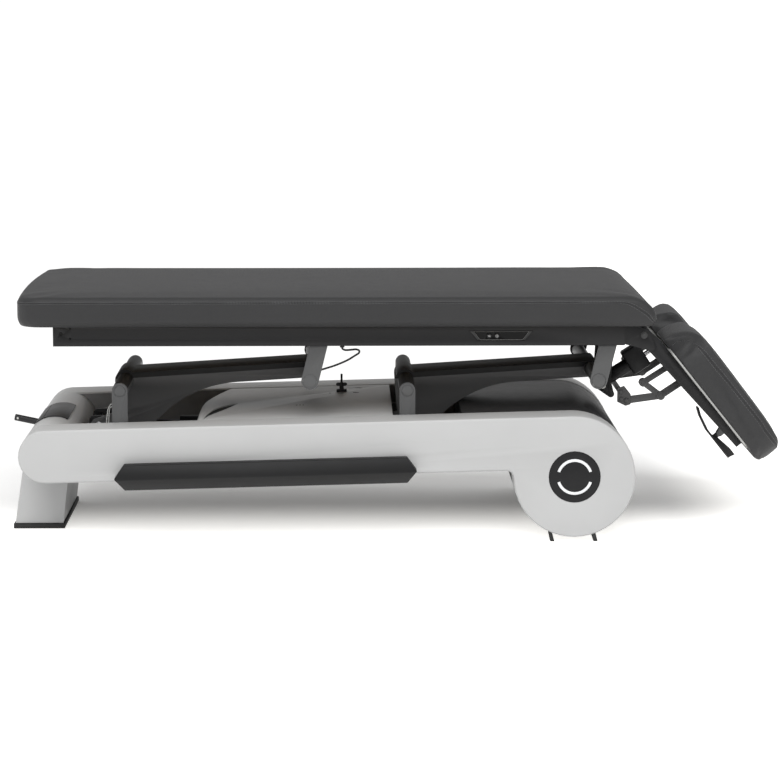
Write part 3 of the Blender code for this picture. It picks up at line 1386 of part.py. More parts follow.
def build_moving(root):
    """Bodies that move on the base."""
    for name, side in (("near_foot_bar", -1), ("far_foot_bar", 1)):
        x, z = along_beam(BAR_CENTRE, BAR_DROP - BAR_HALF_HEIGHT)
        body = empty(name + "_slide", (x, side * HALF_WIDTH, z), root)
        settle(foot_bar(side), name, BLACK_PLASTIC, body)
    x, z = pedal_pivot()
    body = empty("pedal_hinge", (x, PEDAL_OFFSET, z), root)
    settle(pedal(), "pedal", BLACK_PLASTIC, body)
    body = empty("yoke_slide", (roller_place()[0], 0.0, spindle_height()), root)
    settle(lift_yoke(), "lift_yoke", BLACK_STEEL, body)


def build_arms(root):
    foot_arm = empty("lift_hinge", (-FOOT_PIVOT, 0.0, PIVOT_HEIGHT), root)
    settle(lift_arm(-FOOT_PIVOT), "foot_arm", BLACK_STEEL, foot_arm)
    settle(foot_roller(), "foot_arm_roller", BRIGHT_STEEL, foot_arm)
    settle(upper_shaft(-FOOT_PIVOT), "foot_upper_shaft", BLACK_STEEL, foot_arm)
    head_arm = empty("head_arm_hinge", (-HEAD_PIVOT, 0.0, PIVOT_HEIGHT), root)
    settle(lift_arm(-HEAD_PIVOT), "head_arm", BLACK_STEEL, head_arm)
    settle(upper_shaft(-HEAD_PIVOT), "head_upper_shaft", BLACK_STEEL, head_arm)
    return foot_arm


def build_top(foot_arm):
    """Frame, mattress and what hangs on them."""
    x, z = upper_pivot(-FOOT_PIVOT)
    top = empty("level_hinge", (x, 0.0, z), foot_arm)
    settle(top_frame(), "top_frame", BLACK_STEEL, top)
    for name, side in (("near", -1), ("far", 1)):
        settle(arm_bracket(-FOOT_PIVOT, side), name + "_foot_bracket", STEEL_GREY, top)
        settle(arm_bracket(-HEAD_PIVOT, side), name + "_head_bracket", STEEL_GREY, top)
        settle(hinge_pin(side), name + "_hinge_pin", BRIGHT_STEEL, top)
    settle(control_panel(), "control_panel", GLOSS_BLACK, top)
    settle(mattress_board(), "mattress_board", PLYWOOD, top)
    settle(mattress(), "mattress", LEATHER, top)
    settle(tilt_hanger(), "tilt_hanger", BLACK_STEEL, top)
    settle(panel_cable(), "panel_cable", RUBBER, top)
    settle(cable_gland(), "cable_gland", BLACK_PLASTIC, top)
    for name, place in zip(("lower_button", "raise_button"), button_places()):
        body = empty(name + "_slide", (place[0], -RAIL_OUTER, place[1]), top)
        settle(button(place), name, BLACK_PLASTIC, body)
    return top


def build_head(top):
    """Tilting head section, its actuator and its release handle."""
    head = empty("tilt_hinge", (HINGE_X, 0.0, HINGE_HEIGHT), top, REST_TILT)
    head["local"] = True
    settle(head_frame(), "head_frame", BLACK_STEEL, head)
    settle(head_board(), "head_board", PALE_EDGE, head)
    settle(head_pad(), "head_pad", LEATHER, head)
    settle(tilt_lever_frame(), "tilt_lever_frame", STEEL_GREY, head)
    settle(handle_mount(), "handle_mount", STEEL_GREY, head)
    grip = empty("handle_hinge", (HANDLE_PIVOT[0], HANDLE_OFFSET, HANDLE_PIVOT[1]))
    grip.parent = head
    settle(release_handle(), "release_handle", BLACK_PLASTIC, grip)
    foot = empty("actuator_hinge", (ACTUATOR_FOOT[0], 0.0, ACTUATOR_FOOT[1]), top)
    settle(tilt_actuator(), "tilt_actuator", BLACK_STEEL, foot)
    settle(tilt_rod(), "tilt_rod", BRIGHT_STEEL, foot)


def centre_over_origin(root):
    """Put the middle of the table's box over the origin and its lowest face at zero."""
    bpy.context.view_layer.update()
    graph = bpy.context.evaluated_depsgraph_get()
    low, high = Vector((1e9,) * 3), Vector((-1e9,) * 3)
    for item in TABLE.objects:
        if item.type != "MESH":
            continue
        solid = item.evaluated_get(graph)
        for corner in solid.data.vertices:
            point = item.matrix_world @ corner.co
            low = Vector(map(min, low, point))
            high = Vector(map(max, high, point))
    middle = (low + high) / 2
    root.location = (-middle.x, -middle.y, -low.z)
    bpy.context.view_layer.update()


def main():
    root = empty("base", (0.0, 0.0, 0.0))
    build_base(root)
    build_moving(root)
    foot_arm = build_arms(root)
    top = build_top(foot_arm)
    build_head(top)
    centre_over_origin(root)


main()
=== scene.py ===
import json
import math

import bmesh
import bpy
from mathutils import Matrix, Vector
from mathutils.bvhtree import BVHTree

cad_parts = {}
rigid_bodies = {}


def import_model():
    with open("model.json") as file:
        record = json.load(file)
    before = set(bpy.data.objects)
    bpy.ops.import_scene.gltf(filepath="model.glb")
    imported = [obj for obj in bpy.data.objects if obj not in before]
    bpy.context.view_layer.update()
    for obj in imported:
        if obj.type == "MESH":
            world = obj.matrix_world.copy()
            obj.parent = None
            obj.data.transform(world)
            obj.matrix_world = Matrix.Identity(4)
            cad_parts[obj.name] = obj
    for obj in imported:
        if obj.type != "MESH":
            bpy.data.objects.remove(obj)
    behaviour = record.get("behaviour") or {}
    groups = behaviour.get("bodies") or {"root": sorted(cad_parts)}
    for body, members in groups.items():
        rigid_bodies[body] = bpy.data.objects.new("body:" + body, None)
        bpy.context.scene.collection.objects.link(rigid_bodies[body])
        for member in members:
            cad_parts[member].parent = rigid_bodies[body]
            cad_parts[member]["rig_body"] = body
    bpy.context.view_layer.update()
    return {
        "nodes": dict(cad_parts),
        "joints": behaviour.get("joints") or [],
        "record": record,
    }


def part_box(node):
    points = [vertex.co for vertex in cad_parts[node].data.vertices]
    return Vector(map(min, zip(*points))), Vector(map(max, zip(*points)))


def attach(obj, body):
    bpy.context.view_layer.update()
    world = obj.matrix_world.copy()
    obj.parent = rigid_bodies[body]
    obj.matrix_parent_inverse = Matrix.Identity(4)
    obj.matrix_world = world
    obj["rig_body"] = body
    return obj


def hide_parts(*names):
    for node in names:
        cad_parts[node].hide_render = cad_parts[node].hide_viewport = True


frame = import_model()
scene = bpy.context.scene

# Places read from the frame
JOINTS = {joint["name"]: joint for joint in frame["joints"]}
HUB = (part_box("near_hub_cover")[0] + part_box("near_hub_cover")[1]) / 2
HINGE = Vector(JOINTS["head_tilt"]["pos_m"])
FOOT_PIVOT = Vector(JOINTS["lift"]["pos_m"])
HEAD_PIVOT = Vector(JOINTS["lift_head_arm"]["pos_m"])
UPPER_PIVOT = Vector(JOINTS["level"]["pos_m"])
ARM_REACH = UPPER_PIVOT - FOOT_PIVOT
HEAD_TILT = math.radians(51.3)
SHIFT = HUB.x - 0.3895
SLOTS = {part["node"]: part["material_slot"] for part in frame["record"]["subparts"]}


# Camera at the photograph's viewing angle
def add_camera():
    bpy.ops.object.camera_add(location=(-0.1199 + SHIFT, -6.5886, 1.2068),
                              rotation=(math.radians(90 - 7.95), 0, math.radians(-0.97)))
    camera = bpy.context.object
    camera.data.lens = 133.58
    camera.data.sensor_width = 36
    camera.data.clip_end = 2000
    scene.camera = camera


add_camera()


# Shader values that take part in Python sums
class Value:
    def __init__(self, finish, socket):
        self.finish, self.socket = finish, socket

    def maths(self, operation, first, second=0.0):
        return self.finish.node("ShaderNodeMath", {"operation": operation}, {0: first, 1: second})

    def __add__(self, other):
        return self.maths("ADD", self, other)

    def __radd__(self, other):
        return self.maths("ADD", other, self)

    def __sub__(self, other):
        return self.maths("SUBTRACT", self, other)

    def __rsub__(self, other):
        return self.maths("SUBTRACT", other, self)

    def __mul__(self, other):
        return self.maths("MULTIPLY", self, other)

    def __rmul__(self, other):
        return self.maths("MULTIPLY", other, self)

    def __gt__(self, other):
        return self.maths("GREATER_THAN", self, other)

    def __lt__(self, other):
        return self.maths("LESS_THAN", self, other)

    def __abs__(self):
        return self.maths("ABSOLUTE", self)


class Finish:
    """A Principled material that is mixed from procedural nodes."""

    def __init__(self, name, colour, roughness, shine=0.5, **shader):
        self.material = bpy.data.materials.new(name)
        self.material.use_nodes = True
        self.tree = self.material.node_tree
        self.shader = self.tree.nodes["Principled BSDF"]
        self.colour = (*colour, 1.0)
        self.shader.inputs["Base Color"].default_value = self.colour
        self.shader.inputs["Roughness"].default_value = roughness
        self.shader.inputs["Specular IOR Level"].default_value = shine
        for key, value in shader.items():
            self.shader.inputs[key.replace("_", " ").title()].default_value = value
        self.material.diffuse_color = self.colour

    def node(self, kind, settings, inputs, output=0):
        made = self.tree.nodes.new(kind)
        for key, value in settings.items():
            if key == "stops":
                ramp = made.color_ramp
                for place, level in value[1:-1]:
                    ramp.elements.new(place)
                for element, (place, level) in zip(ramp.elements, value):
                    element.position = place
                    element.color = (level, level, level, 1.0)
            else:
                setattr(made, key, value)
        for key, value in inputs.items():
            if isinstance(value, Value):
                self.tree.links.new(value.socket, made.inputs[key])
            else:
                made.inputs[key].default_value = value
        return Value(self, made.outputs[output])

    def place(self):
        return self.node("ShaderNodeTexCoord", {}, {}, "Object")

    def along(self, axis):
        return self.node("ShaderNodeSeparateXYZ", {}, {"Vector": self.place()}, "XYZ".index(axis))

    def stretched(self, scale):
        return self.node("ShaderNodeMapping", {}, {"Vector": self.place(), "Scale": scale})

    def noise(self, scale, detail=3.0, rough=0.5, vector=None):
        return self.node("ShaderNodeTexNoise", {}, {"Vector": vector or self.place(), "Scale": scale,
                                                     "Detail": detail, "Roughness": rough})

    def cells(self, scale, feature="DISTANCE_TO_EDGE"):
        return self.node("ShaderNodeTexVoronoi", {"feature": feature}, {"Vector": self.place(), "Scale": scale})

    def ramp(self, value, *stops):
        return self.node("ShaderNodeValToRGB", {"stops": stops}, {"Fac": value})

    def mix(self, factor, first, second):
        return self.node("ShaderNodeMix", {"data_type": "RGBA"}, {0: factor, 6: first, 7: second}, 2)

    def shaded(self, amount):
        return tuple(min(1.0, c * amount) for c in self.colour[:3]) + (1.0,)

    def feed(self, name, value):
        self.tree.links.new(value.socket, self.shader.inputs[name])

    def bump(self, height, strength, distance):
        made = self.node("ShaderNodeBump", {}, {"Height": height, "Strength": strength, "Distance": distance})
        self.feed("Normal", made)


def painted(name, colour, roughness, grain=0.06, **shader):
    """Powder coat: fine orange peel, faint dust and uneven gloss."""
    look = Finish(name, colour, roughness, **shader)
    cloud = look.ramp(look.noise(7.0, 4.0), (0.35, 0.0), (0.7, 1.0))
    look.feed("Base Color", look.mix(cloud, look.shaded(0.98), look.shaded(1.02)))
    look.feed("Roughness", roughness - 0.05 + look.noise(60.0, 2.0) * 0.10)
    look.bump(look.noise(900.0, 2.0) + look.noise(260.0, 1.0) * 0.5, grain, 0.0004)
    return look


def moulded(name, colour, roughness, grain=0.12, shine=0.5):
    """Moulded plastic with a fine spark-eroded texture."""
    look = Finish(name, colour, roughness, shine)
    cloud = look.ramp(look.noise(9.0, 3.0), (0.3, 0.0), (0.75, 1.0))
    look.feed("Base Color", look.mix(cloud, look.shaded(0.88), look.shaded(1.12)))
    look.feed("Roughness", roughness - 0.04 + look.noise(45.0, 2.0) * 0.08)
    look.bump(look.noise(1500.0, 1.0, 0.6), grain, 0.0003)
    return look


def upholstery():
    """Grained artificial leather with soft creases and a slight uneven tone."""
    look = Finish("upholstery", (0.030, 0.030, 0.031), 0.55, 0.32, sheen_weight=0.03)
    cloud = look.ramp(look.noise(5.0, 4.0, 0.55), (0.3, 0.0), (0.72, 1.0))
    grain = look.cells(620.0)
    pores = look.ramp(grain, (0.0, 0.0), (0.14, 1.0))
    tone = look.mix(cloud, look.shaded(0.92), look.shaded(1.07))
    look.feed("Base Color", look.mix(pores, look.shaded(0.72), tone))
    look.feed("Roughness", 0.60 - pores * 0.10 + look.noise(30.0, 2.0) * 0.05)
    creases = look.noise(38.0, 5.0, 0.6)
    look.bump(pores * 0.35 + creases * 0.9, 0.22, 0.0012)
    return look


def rubber(name, colour=(0.014, 0.014, 0.014)):
    look = Finish(name, colour, 0.78)
    dust = look.ramp(look.noise(24.0, 4.0), (0.45, 0.0), (0.8, 1.0))
    look.feed("Base Color", look.mix(dust, look.shaded(0.9), look.shaded(1.5)))
    look.bump(look.noise(700.0, 2.0), 0.15, 0.0004)
    return look


def steel(name, colour=(0.55, 0.55, 0.56), roughness=0.28):
    """Ground steel with fine lines round its length."""
    look = Finish(name, colour, roughness, metallic=1.0)
    lines = look.noise(1.0, 2.0, 0.6, look.stretched((1600.0, 30.0, 1600.0)))
    look.feed("Roughness", roughness - 0.06 + lines * 0.16)
    look.feed("Base Color", look.mix(look.noise(18.0, 2.0), look.shaded(0.85), look.shaded(1.05)))
    look.bump(lines, 0.06, 0.0002)
    return look


def plywood():
    look = Finish("plywood", (0.45, 0.33, 0.20), 0.7)
    rings = look.noise(6.0, 4.0, 0.6, look.stretched((1.0, 14.0, 40.0)))
    look.feed("Base Color", look.mix(rings, look.shaded(0.7), look.shaded(1.15)))
    look.bump(rings, 0.2, 0.0004)
    return look


def glowing():
    look = Finish("light_guide", (0.86, 0.87, 0.88), 0.25)
    cloud = look.noise(40.0, 2.0)
    look.feed("Base Color", look.mix(cloud, look.shaded(0.96), look.shaded(1.04)))
    look.bump(look.noise(400.0, 1.0), 0.03, 0.0002)
    return look


def glass_black():
    look = Finish("gloss_panel", (0.004, 0.004, 0.004), 0.16, 0.12)
    smears = look.ramp(look.noise(60.0, 4.0), (0.45, 0.0), (0.75, 1.0))
    look.feed("Roughness", 0.14 + smears * 0.10)
    look.bump(look.noise(90.0, 1.0), 0.02, 0.0003)
    return look


def bare_sheet():
    look = Finish("pale_sheet", (0.40, 0.40, 0.39), 0.42, metallic=0.25)
    lines = look.noise(1.0, 2.0, 0.6, look.stretched((30.0, 900.0, 900.0)))
    look.feed("Base Color", look.mix(lines, look.shaded(0.88), look.shaded(1.06)))
    look.feed("Roughness", 0.36 + lines * 0.14)
    look.bump(lines, 0.05, 0.0002)
    return look


def arm_coat_painted_light_and_shade(name, pivot):
    """Black powder coat on an arm, lightened as painted light from the front, and darker on its upper tube as painted
    shade under the mattress.
    """
    look = painted(name, (0.110, 0.110, 0.111), 0.46, shine=0.35)
    slope = ARM_REACH.z / ARM_REACH.x
    above = look.along("Z") - pivot.z - (look.along("X") - pivot.x) * slope
    # Painted shade: the band above the arm's axis line, its upper tube, is darkened as if shaded by the mattress.
    tube = look.ramp(above * 40.0, (0.14, 0.0), (0.20, 1.0))
    look.feed("Base Color", look.mix(tube, look.shaded(1.0), look.shaded(0.09)))
    look.feed("Roughness", 0.44 + tube * 0.14)
    return look


def shaft_paint(name, edge):
    """Dark cross tube whose ends carry the paint of the plates they sit in."""
    look = painted(name, (0.040, 0.040, 0.041), 0.44)
    end = abs(look.along("Y")) > edge
    look.feed("Base Color", look.mix(end, look.shaded(1.0), (0.080, 0.081, 0.082, 1.0)))
    return look


LOOKS = {
    "light_shell": painted("light_shell", (0.525, 0.527, 0.525), 0.42, shine=0.4),
    "dark_cover": moulded("dark_cover", (0.027, 0.027, 0.028), 0.42, shine=0.36),
    "dark_steel": painted("dark_steel", (0.050, 0.050, 0.052), 0.48),
    "light_guide": glowing(),
    "rubber": rubber("rubber"),
    "black_plastic": moulded("black_plastic", (0.016, 0.016, 0.017), 0.46, shine=0.3),
    "grey_steel": painted("grey_steel", (0.080, 0.081, 0.082), 0.42, shine=0.42),
    "black_steel": painted("black_steel", (0.014, 0.014, 0.015), 0.46, shine=0.25),
    "bright_steel": steel("bright_steel"),
    "gloss_panel": glass_black(),
    "upholstery": upholstery(),
    "plywood": plywood(),
    "pale_sheet": bare_sheet(),
}
HUB_FACE = moulded("hub_face", (0.010, 0.010, 0.011), 0.44, shine=0.22)
OWN_LOOKS = {
    "near_hub_cover": HUB_FACE,
    "far_hub_cover": HUB_FACE,
    "rear_cover": moulded("rear_cover_finish", (0.033, 0.033, 0.034), 0.48, shine=0.2),
    "foot_arm": arm_coat_painted_light_and_shade("foot_arm_coat_painted_light_and_shade", FOOT_PIVOT),
    "head_arm": arm_coat_painted_light_and_shade("head_arm_coat_painted_light_and_shade", HEAD_PIVOT),
    "foot_pivot_shaft": shaft_paint("foot_shaft_paint", 0.236),
    "head_pivot_shaft": shaft_paint("head_shaft_paint", 0.236),
    "foot_upper_shaft": shaft_paint("foot_upper_paint", 0.272),
    "head_upper_shaft": shaft_paint("head_upper_paint", 0.272),
    "near_hinge_pin": shaft_paint("hinge_pin_paint", 0.9),
    "far_hinge_pin": shaft_paint("far_pin_paint", 0.9),
    "near_foot_bar": moulded("near_bar_finish", (0.0095, 0.0095, 0.010), 0.48, shine=0.2),
    "far_foot_bar": moulded("far_bar_finish", (0.0095, 0.0095, 0.010), 0.48, shine=0.2),
    # Painted shade: the far head bracket is a darker copy of the near bracket's grey, as it stands in shade.
    "far_head_bracket": painted("far_bracket_painted_shade", (0.016, 0.016, 0.017), 0.46, shine=0.25),
    # Grey paint on the chassis, lightened as painted light so the well inside the base reads as lit.
    "base_chassis": painted("chassis_grey_and_painted_light", (0.240, 0.240, 0.242), 0.5, shine=0.3),
    "tilt_lever_frame": painted("lever_paint", (0.040, 0.040, 0.041), 0.44),
}
THREAD = rubber("seam_thread", (0.105, 0.105, 0.107))
PIPING = rubber("seam_piping", (0.020, 0.020, 0.021))
MARKS = moulded("panel_marks", (0.62, 0.62, 0.62), 0.5)
BEZEL = painted("panel_bezel", (0.16, 0.16, 0.16), 0.35)
RIM = moulded("panel_rim", (0.034, 0.034, 0.035), 0.42, shine=0.35)
ZINC = steel("zinc_plated", (0.50, 0.50, 0.48), 0.34)
BLACK_BOLT = painted("black_bolt", (0.022, 0.022, 0.023), 0.36)
WIRE = moulded("pale_wire", (0.58, 0.58, 0.56), 0.5)
HOLE_SHADE = moulded("painted_hole_shade", (0.020, 0.020, 0.021), 0.5)


# Choosing, editing and finishing pieces
def choose(*items):
    bpy.ops.object.select_all(action="DESELECT")
    for item in items:
        item.select_set(True)
    bpy.context.view_layer.objects.active = items[0]


def placed(item):
    """Put a piece's place, turn and scale into its mesh."""
    choose(item)
    bpy.ops.object.transform_apply(location=True, rotation=True, scale=True)
    return item


def applied(item, modifier):
    choose(item)
    bpy.ops.object.modifier_apply(modifier=modifier.name)
    return item


def eased(item, width, segments=2, angle=32):
    """Round the sharp edges of a piece."""
    bevel = item.modifiers.new("eased edges", "BEVEL")
    bevel.width = width
    bevel.segments = segments
    bevel.limit_method = "ANGLE"
    bevel.angle_limit = math.radians(angle)
    return applied(item, bevel)


def shared(item, other):
    """Keep what two forms have in common."""
    cut = item.modifiers.new("shared form", "BOOLEAN")
    cut.operation = "INTERSECT"
    cut.solver = "EXACT"
    cut.object = other
    applied(item, cut)
    bpy.data.objects.remove(other)
    return item


def smooth(item, angle=35):
    choose(item)
    bpy.ops.object.shade_smooth_by_angle(angle=math.radians(angle))
    return item


def dress(item, name, look, body, replaced=()):
    """Name a finished piece, give it its material and let it ride on its body."""
    item.name = name
    item.data.name = name
    item.data.materials.clear()
    item.data.materials.append(look.material)
    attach(item, body)
    if replaced:
        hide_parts(*replaced)
    return item


def together(items):
    """Several meshes made one piece."""
    choose(*items)
    bpy.ops.object.join()
    return bpy.context.object


def finished(node, width=0.0008, segments=2):
    """A rigid CAD piece again with eased edges and smooth rounds."""
    source = frame["nodes"][node]
    item = bpy.data.objects.new(node + "_finished", source.data.copy())
    scene.collection.objects.link(item)
    choose(item)
    if item.data.has_custom_normals:
        bpy.ops.mesh.customdata_custom_splitnormals_clear()
    bpy.ops.object.mode_set(mode="EDIT")
    bpy.ops.mesh.select_all(action="SELECT")
    bpy.ops.mesh.remove_doubles(threshold=0.00002)
    bpy.ops.mesh.dissolve_limited(angle_limit=math.radians(0.5))
    bpy.ops.object.mode_set(mode="OBJECT")
    eased(item, width, segments)
    smooth(item)
    body = source["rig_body"]
    slot = SLOTS[node]
    return dress(item, node + "_finished", OWN_LOOKS.get(node, LOOKS[slot]), body, [node])


def cylinder(radius, ends, facets=48):
    """A round bar between two points."""
    start, end = Vector(ends[0]), Vector(ends[1])
    turn = (end - start).to_track_quat("Z", "Y").to_euler()
    bpy.ops.mesh.primitive_cylinder_add(vertices=facets, radius=radius, depth=(end - start).length,
                                        location=(start + end) / 2, rotation=turn)
    return placed(bpy.context.object)


def tilted(item):
    """Turn a piece modelled flat on the head section's axes to where the section hangs."""
    item.data.transform(Matrix.Translation(HINGE) @ Matrix.Rotation(HEAD_TILT, 4, "Y"))
    return item


def drawn(points, depth, middle=0.0, flat=False):
    """An outline drawn corner by corner, filled and pulled out to its depth."""
    axis = Vector((0, 0, 1)) if flat else Vector((0, 1, 0))
    spots = [Vector((x, z, 0)) if flat else Vector((x, 0, z)) for x, z in points]
    start = spots[0] + axis * (middle - depth / 2)
    bpy.ops.mesh.primitive_plane_add(size=0.01, location=start)
    item = placed(bpy.context.object)
    bpy.ops.object.mode_set(mode="EDIT")
    bpy.ops.mesh.select_all(action="SELECT")
    bpy.ops.mesh.merge(type="CENTER")
    for before, after in zip(spots, spots[1:]):
        bpy.ops.mesh.extrude_vertices_move(TRANSFORM_OT_translate={"value": after - before})
    bpy.ops.mesh.select_all(action="SELECT")
    bpy.ops.mesh.edge_face_add()
    bpy.ops.mesh.extrude_region_move(TRANSFORM_OT_translate={"value": axis * depth})
    bpy.ops.mesh.select_all(action="SELECT")
    bpy.ops.mesh.normals_make_consistent(inside=False)
    bpy.ops.object.mode_set(mode="OBJECT")
    return item


def arc(centre, radius, start, end, count):
    """Points round part of a circle, angles in degrees."""
    angles = [math.radians(start + (end - start) * i / count) for i in range(count + 1)]
    return [(centre[0] + radius * math.cos(a), centre[1] + radius * math.sin(a)) for a in angles]


def line(points, radius, facets=2):
    """A round cord or bead through points, as a mesh."""
    bpy.ops.curve.primitive_nurbs_path_add()
    item = bpy.context.object
    item.location = (0, 0, 0)
    curve = item.data
    curve.splines.clear()
    spline = curve.splines.new("POLY")
    spline.points.add(len(points) - 1)
    for target, point in zip(spline.points, points):
        target.co = (*point, 1.0)
    curve.bevel_depth = radius
    curve.bevel_resolution = facets
    curve.use_fill_caps = True
    choose(item)
    bpy.ops.object.convert(target="MESH")
    item = bpy.context.object
    bpy.ops.object.mode_set(mode="EDIT")
    bpy.ops.mesh.select_all(action="SELECT")
    bpy.ops.mesh.remove_doubles(threshold=0.00001)
    bpy.ops.mesh.normals_make_consistent(inside=False)
    bpy.ops.object.mode_set(mode="OBJECT")
    bpy.ops.object.shade_smooth()
    return item


# Upholstery
def stuffed(item, voxel, cap, held, pressure=4.0):
    """Swell a closed form like foam under a cover; no point moves further than cap."""
    choose(item)
    item.data.remesh_voxel_size = voxel
    bpy.ops.object.voxel_remesh()
    before = [vertex.co.copy() for vertex in item.data.vertices]
    group = item.vertex_groups.new(name="held")
    group.add([i for i, point in enumerate(before) if held(point)], 1.0, "REPLACE")
    cloth = item.modifiers.new("cover", "CLOTH")
    cloth.settings.use_pressure = True
    cloth.settings.uniform_pressure_force = pressure
    cloth.settings.effector_weights.gravity = 0.0
    cloth.settings.vertex_group_mass = "held"
    cloth.settings.quality = 4
    for number in range(1, 21):
        scene.frame_set(number)
    applied(item, cloth)
    for vertex, was in zip(item.data.vertices, before):
        moved = vertex.co - was
        if moved.length > cap:
            vertex.co = was + moved.normalized() * cap
    scene.frame_set(1)
    item.vertex_groups.clear()
    fine = item.modifiers.new("fine surface", "SUBSURF")
    fine.levels = fine.render_levels = 1
    applied(item, fine)
    bpy.ops.object.shade_smooth()
    return item


def surface_of(item):
    mesh = item.data
    return BVHTree.FromPolygons([v.co for v in mesh.vertices], [p.vertices for p in mesh.polygons])


def evenly(points, step):
    """Points at an even spacing along a bent line."""
    points = [Vector(point) for point in points]
    result = [points[0]]
    left = step
    for start, end in zip(points, points[1:]):
        span = (end - start).length
        along = 0.0
        while span - along >= left:
            along += left
            result.append(start.lerp(end, along / span))
            left = step
        left -= span - along
    return result


def snapped(tree, points, lift):
    """Points laid on a surface and raised by lift."""
    result = []
    for point in points:
        spot, normal, _, _ = tree.find_nearest(point)
        result.append((spot + normal * lift, normal))
    return result


def stitches(tree, path, length=0.0042, gap=0.0022, radius=0.00045):
    """A row of short threads along a path on a surface."""
    spots = snapped(tree, evenly(path, length + gap), 0.0001)
    model = cylinder(radius, ((0, 0, 0), (0, 0, length)), 6)
    mesh = model.data
    work = bmesh.new()
    for (here, _), (there, _) in zip(spots, spots[1:]):
        turn = (there - here).to_track_quat("Z", "Y").to_matrix().to_4x4()
        first = len(work.verts)
        work.from_mesh(mesh)
        work.verts.ensure_lookup_table()
        for vertex in work.verts[first:]:
            vertex.co = Matrix.Translation(here) @ turn @ vertex.co
    work.to_mesh(mesh)
    work.free()
    return model


MATTRESS_LOW, MATTRESS_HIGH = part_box("mattress")
NOSE = 0.072


def mattress_profile(inset):
    """Side of the mattress with a long round nose at the head; the plan closes its foot end."""
    low, high = MATTRESS_LOW, MATTRESS_HIGH
    belt = low.z + 0.015
    centre = high.x - NOSE
    points = [(low.x - 0.03, low.z), (high.x - 0.004 - inset, low.z)]
    for i in range(17):
        angle = math.pi / 2 * i / 16
        points.append((centre + (NOSE - inset) * math.cos(angle),
                       belt + (high.z - belt - inset) * math.sin(angle)))
    points.append((low.x - 0.03, high.z - inset))
    return points


FOOT_CORNER = 0.060


def mattress_plan(inset):
    """Half plan of the mattress from the nose round its near foot corner along the full foot end."""
    low, high = MATTRESS_LOW, MATTRESS_HIGH
    half = (high.y - low.y) / 2 - inset
    edge = low.x - 0.0070 + inset
    corner = arc((edge + FOOT_CORNER, -half + FOOT_CORNER), FOOT_CORNER, 270, 184, 10)
    reach = half - FOOT_CORNER
    bulge = [(edge - 0.0075 * (1 - (y / reach) ** 2), -reach * y / reach)
             for y in (reach * (1 - i / 6) for i in range(1, 6))]
    return [(high.x + 0.03, -half)] + corner + bulge


def crowned(item, half, rise, floor):
    """A crown across the top, highest along the middle."""
    for vertex in item.data.vertices:
        share = max(0.0, 1 - (vertex.co.y / half) ** 2)
        vertex.co.z = max(vertex.co.z, floor)
        if vertex.co.z > floor + 0.03:
            vertex.co.z += rise * share


def make_mattress():
    low, high = MATTRESS_LOW, MATTRESS_HIGH
    inset = 0.0016
    half = (high.y - low.y) / 2
    near = mattress_plan(inset)
    plan = near + [(x, -y) for x, y in reversed(near)]
    form = drawn(plan, 0.4, high.z, flat=True)
    shared(form, drawn(mattress_profile(inset), 2 * half + 0.1))
    eased(form, 0.017, 5, 40)
    stuffed(form, 0.010, 0.0036, lambda p: p.z < low.z + 0.004)
    crowned(form, half, 0.0025, low.z + 0.0002)
    mattress = dress(form, "mattress_cover", LOOKS["upholstery"], "top", ["mattress"])
    tree = surface_of(mattress)
    seam = high.z - 0.0105
    nose = [(0.569, 0.4745), (0.557, 0.487), (0.5455, 0.500), (0.520, 0.517), (0.504, 0.5255), (0.486, seam)]
    nose = [(x + SHIFT, -half - 0.004, z) for x, z in nose]
    side = [(x, -half - 0.002, seam) for x in (0.3, 0.0, -0.3, -0.6)]
    corner = [(x, y, seam - min(0.0048, 0.0006 * index)) for index, (x, y) in enumerate(mattress_plan(-0.002)[1:])]
    middle = nose + side + corner
    path = middle + [(x, -y, z) for x, y, z in reversed(middle)]
    cord = line([spot for spot, _ in snapped(tree, evenly(path, 0.006), 0.0001)], 0.0010)
    dress(cord, "mattress_piping", PIPING, "top")
    rows = []
    for rise in (0.0038, -0.0038):
        row = [(x, y, z + rise) if 6 <= index < len(path) - 6 else (x + rise * 0.7, y, z + rise * 0.7)
               for index, (x, y, z) in enumerate(path)]
        rows.append(stitches(tree, row))
    dress(together(rows), "mattress_stitches", THREAD, "top")


HEAD_PAD = dict(start=0.036, end=0.384, width=0.696, bottom=0.0255, thickness=0.066, corner=0.062,
                notch=0.180, depth=0.110)


def pad_plan(inset):
    """Plan of the head pad: round corners at its end, and a notch at the hinge."""
    p = HEAD_PAD
    half, opening = p["width"] / 2 - inset, p["notch"] / 2 + inset
    start, end, corner = p["start"] + inset, p["end"] - inset, p["corner"] - inset
    lip = 0.022 - inset * 0.5
    points = arc((end - corner, half - corner), corner, 0, 90, 10)
    points += [(start + 0.078 - 0.078 * math.sin(a), half - 0.130 + 0.130 * math.cos(a))
               for a in (math.radians(90 * i / 14) for i in range(15))]
    points += arc((start + lip, opening + lip), lip, 180, 270, 6)
    points += arc((p["start"] + p["depth"] - p["notch"] / 2, 0), opening, 90, 0, 12)
    lower = [(x, -y) for x, y in reversed(points)]
    return points + lower[1:-1]


def pad_side(inset):
    """Side of the head pad: nose at the hinge, arched top, full round free end that hangs below the board."""
    p = HEAD_PAD
    bottom, top, end = p["bottom"], p["bottom"] + p["thickness"] - inset, p["end"] - inset
    points = [(p["start"] + 0.004, bottom), (0.333, bottom), (0.343, bottom - 0.004)]
    middle, tall = (bottom - 0.005 + top) / 2, (top - bottom + 0.005) / 2
    points += [(end - 0.032 + 0.032 * math.cos(a), middle + tall * math.sin(a))
               for a in (math.radians(-90 + 180 * i / 16) for i in range(17))]
    points += [(0.300, top + 0.0025), (0.240, top + 0.0045), (0.180, top + 0.0060), (0.130, top + 0.0068)]
    points += [(p["start"] + inset + 0.034 - 0.034 * math.sin(a), bottom + 0.014 + (top - bottom - 0.0080) * math.cos(a))
               for a in (math.radians(90 * i / 10) for i in range(11))]
    return points


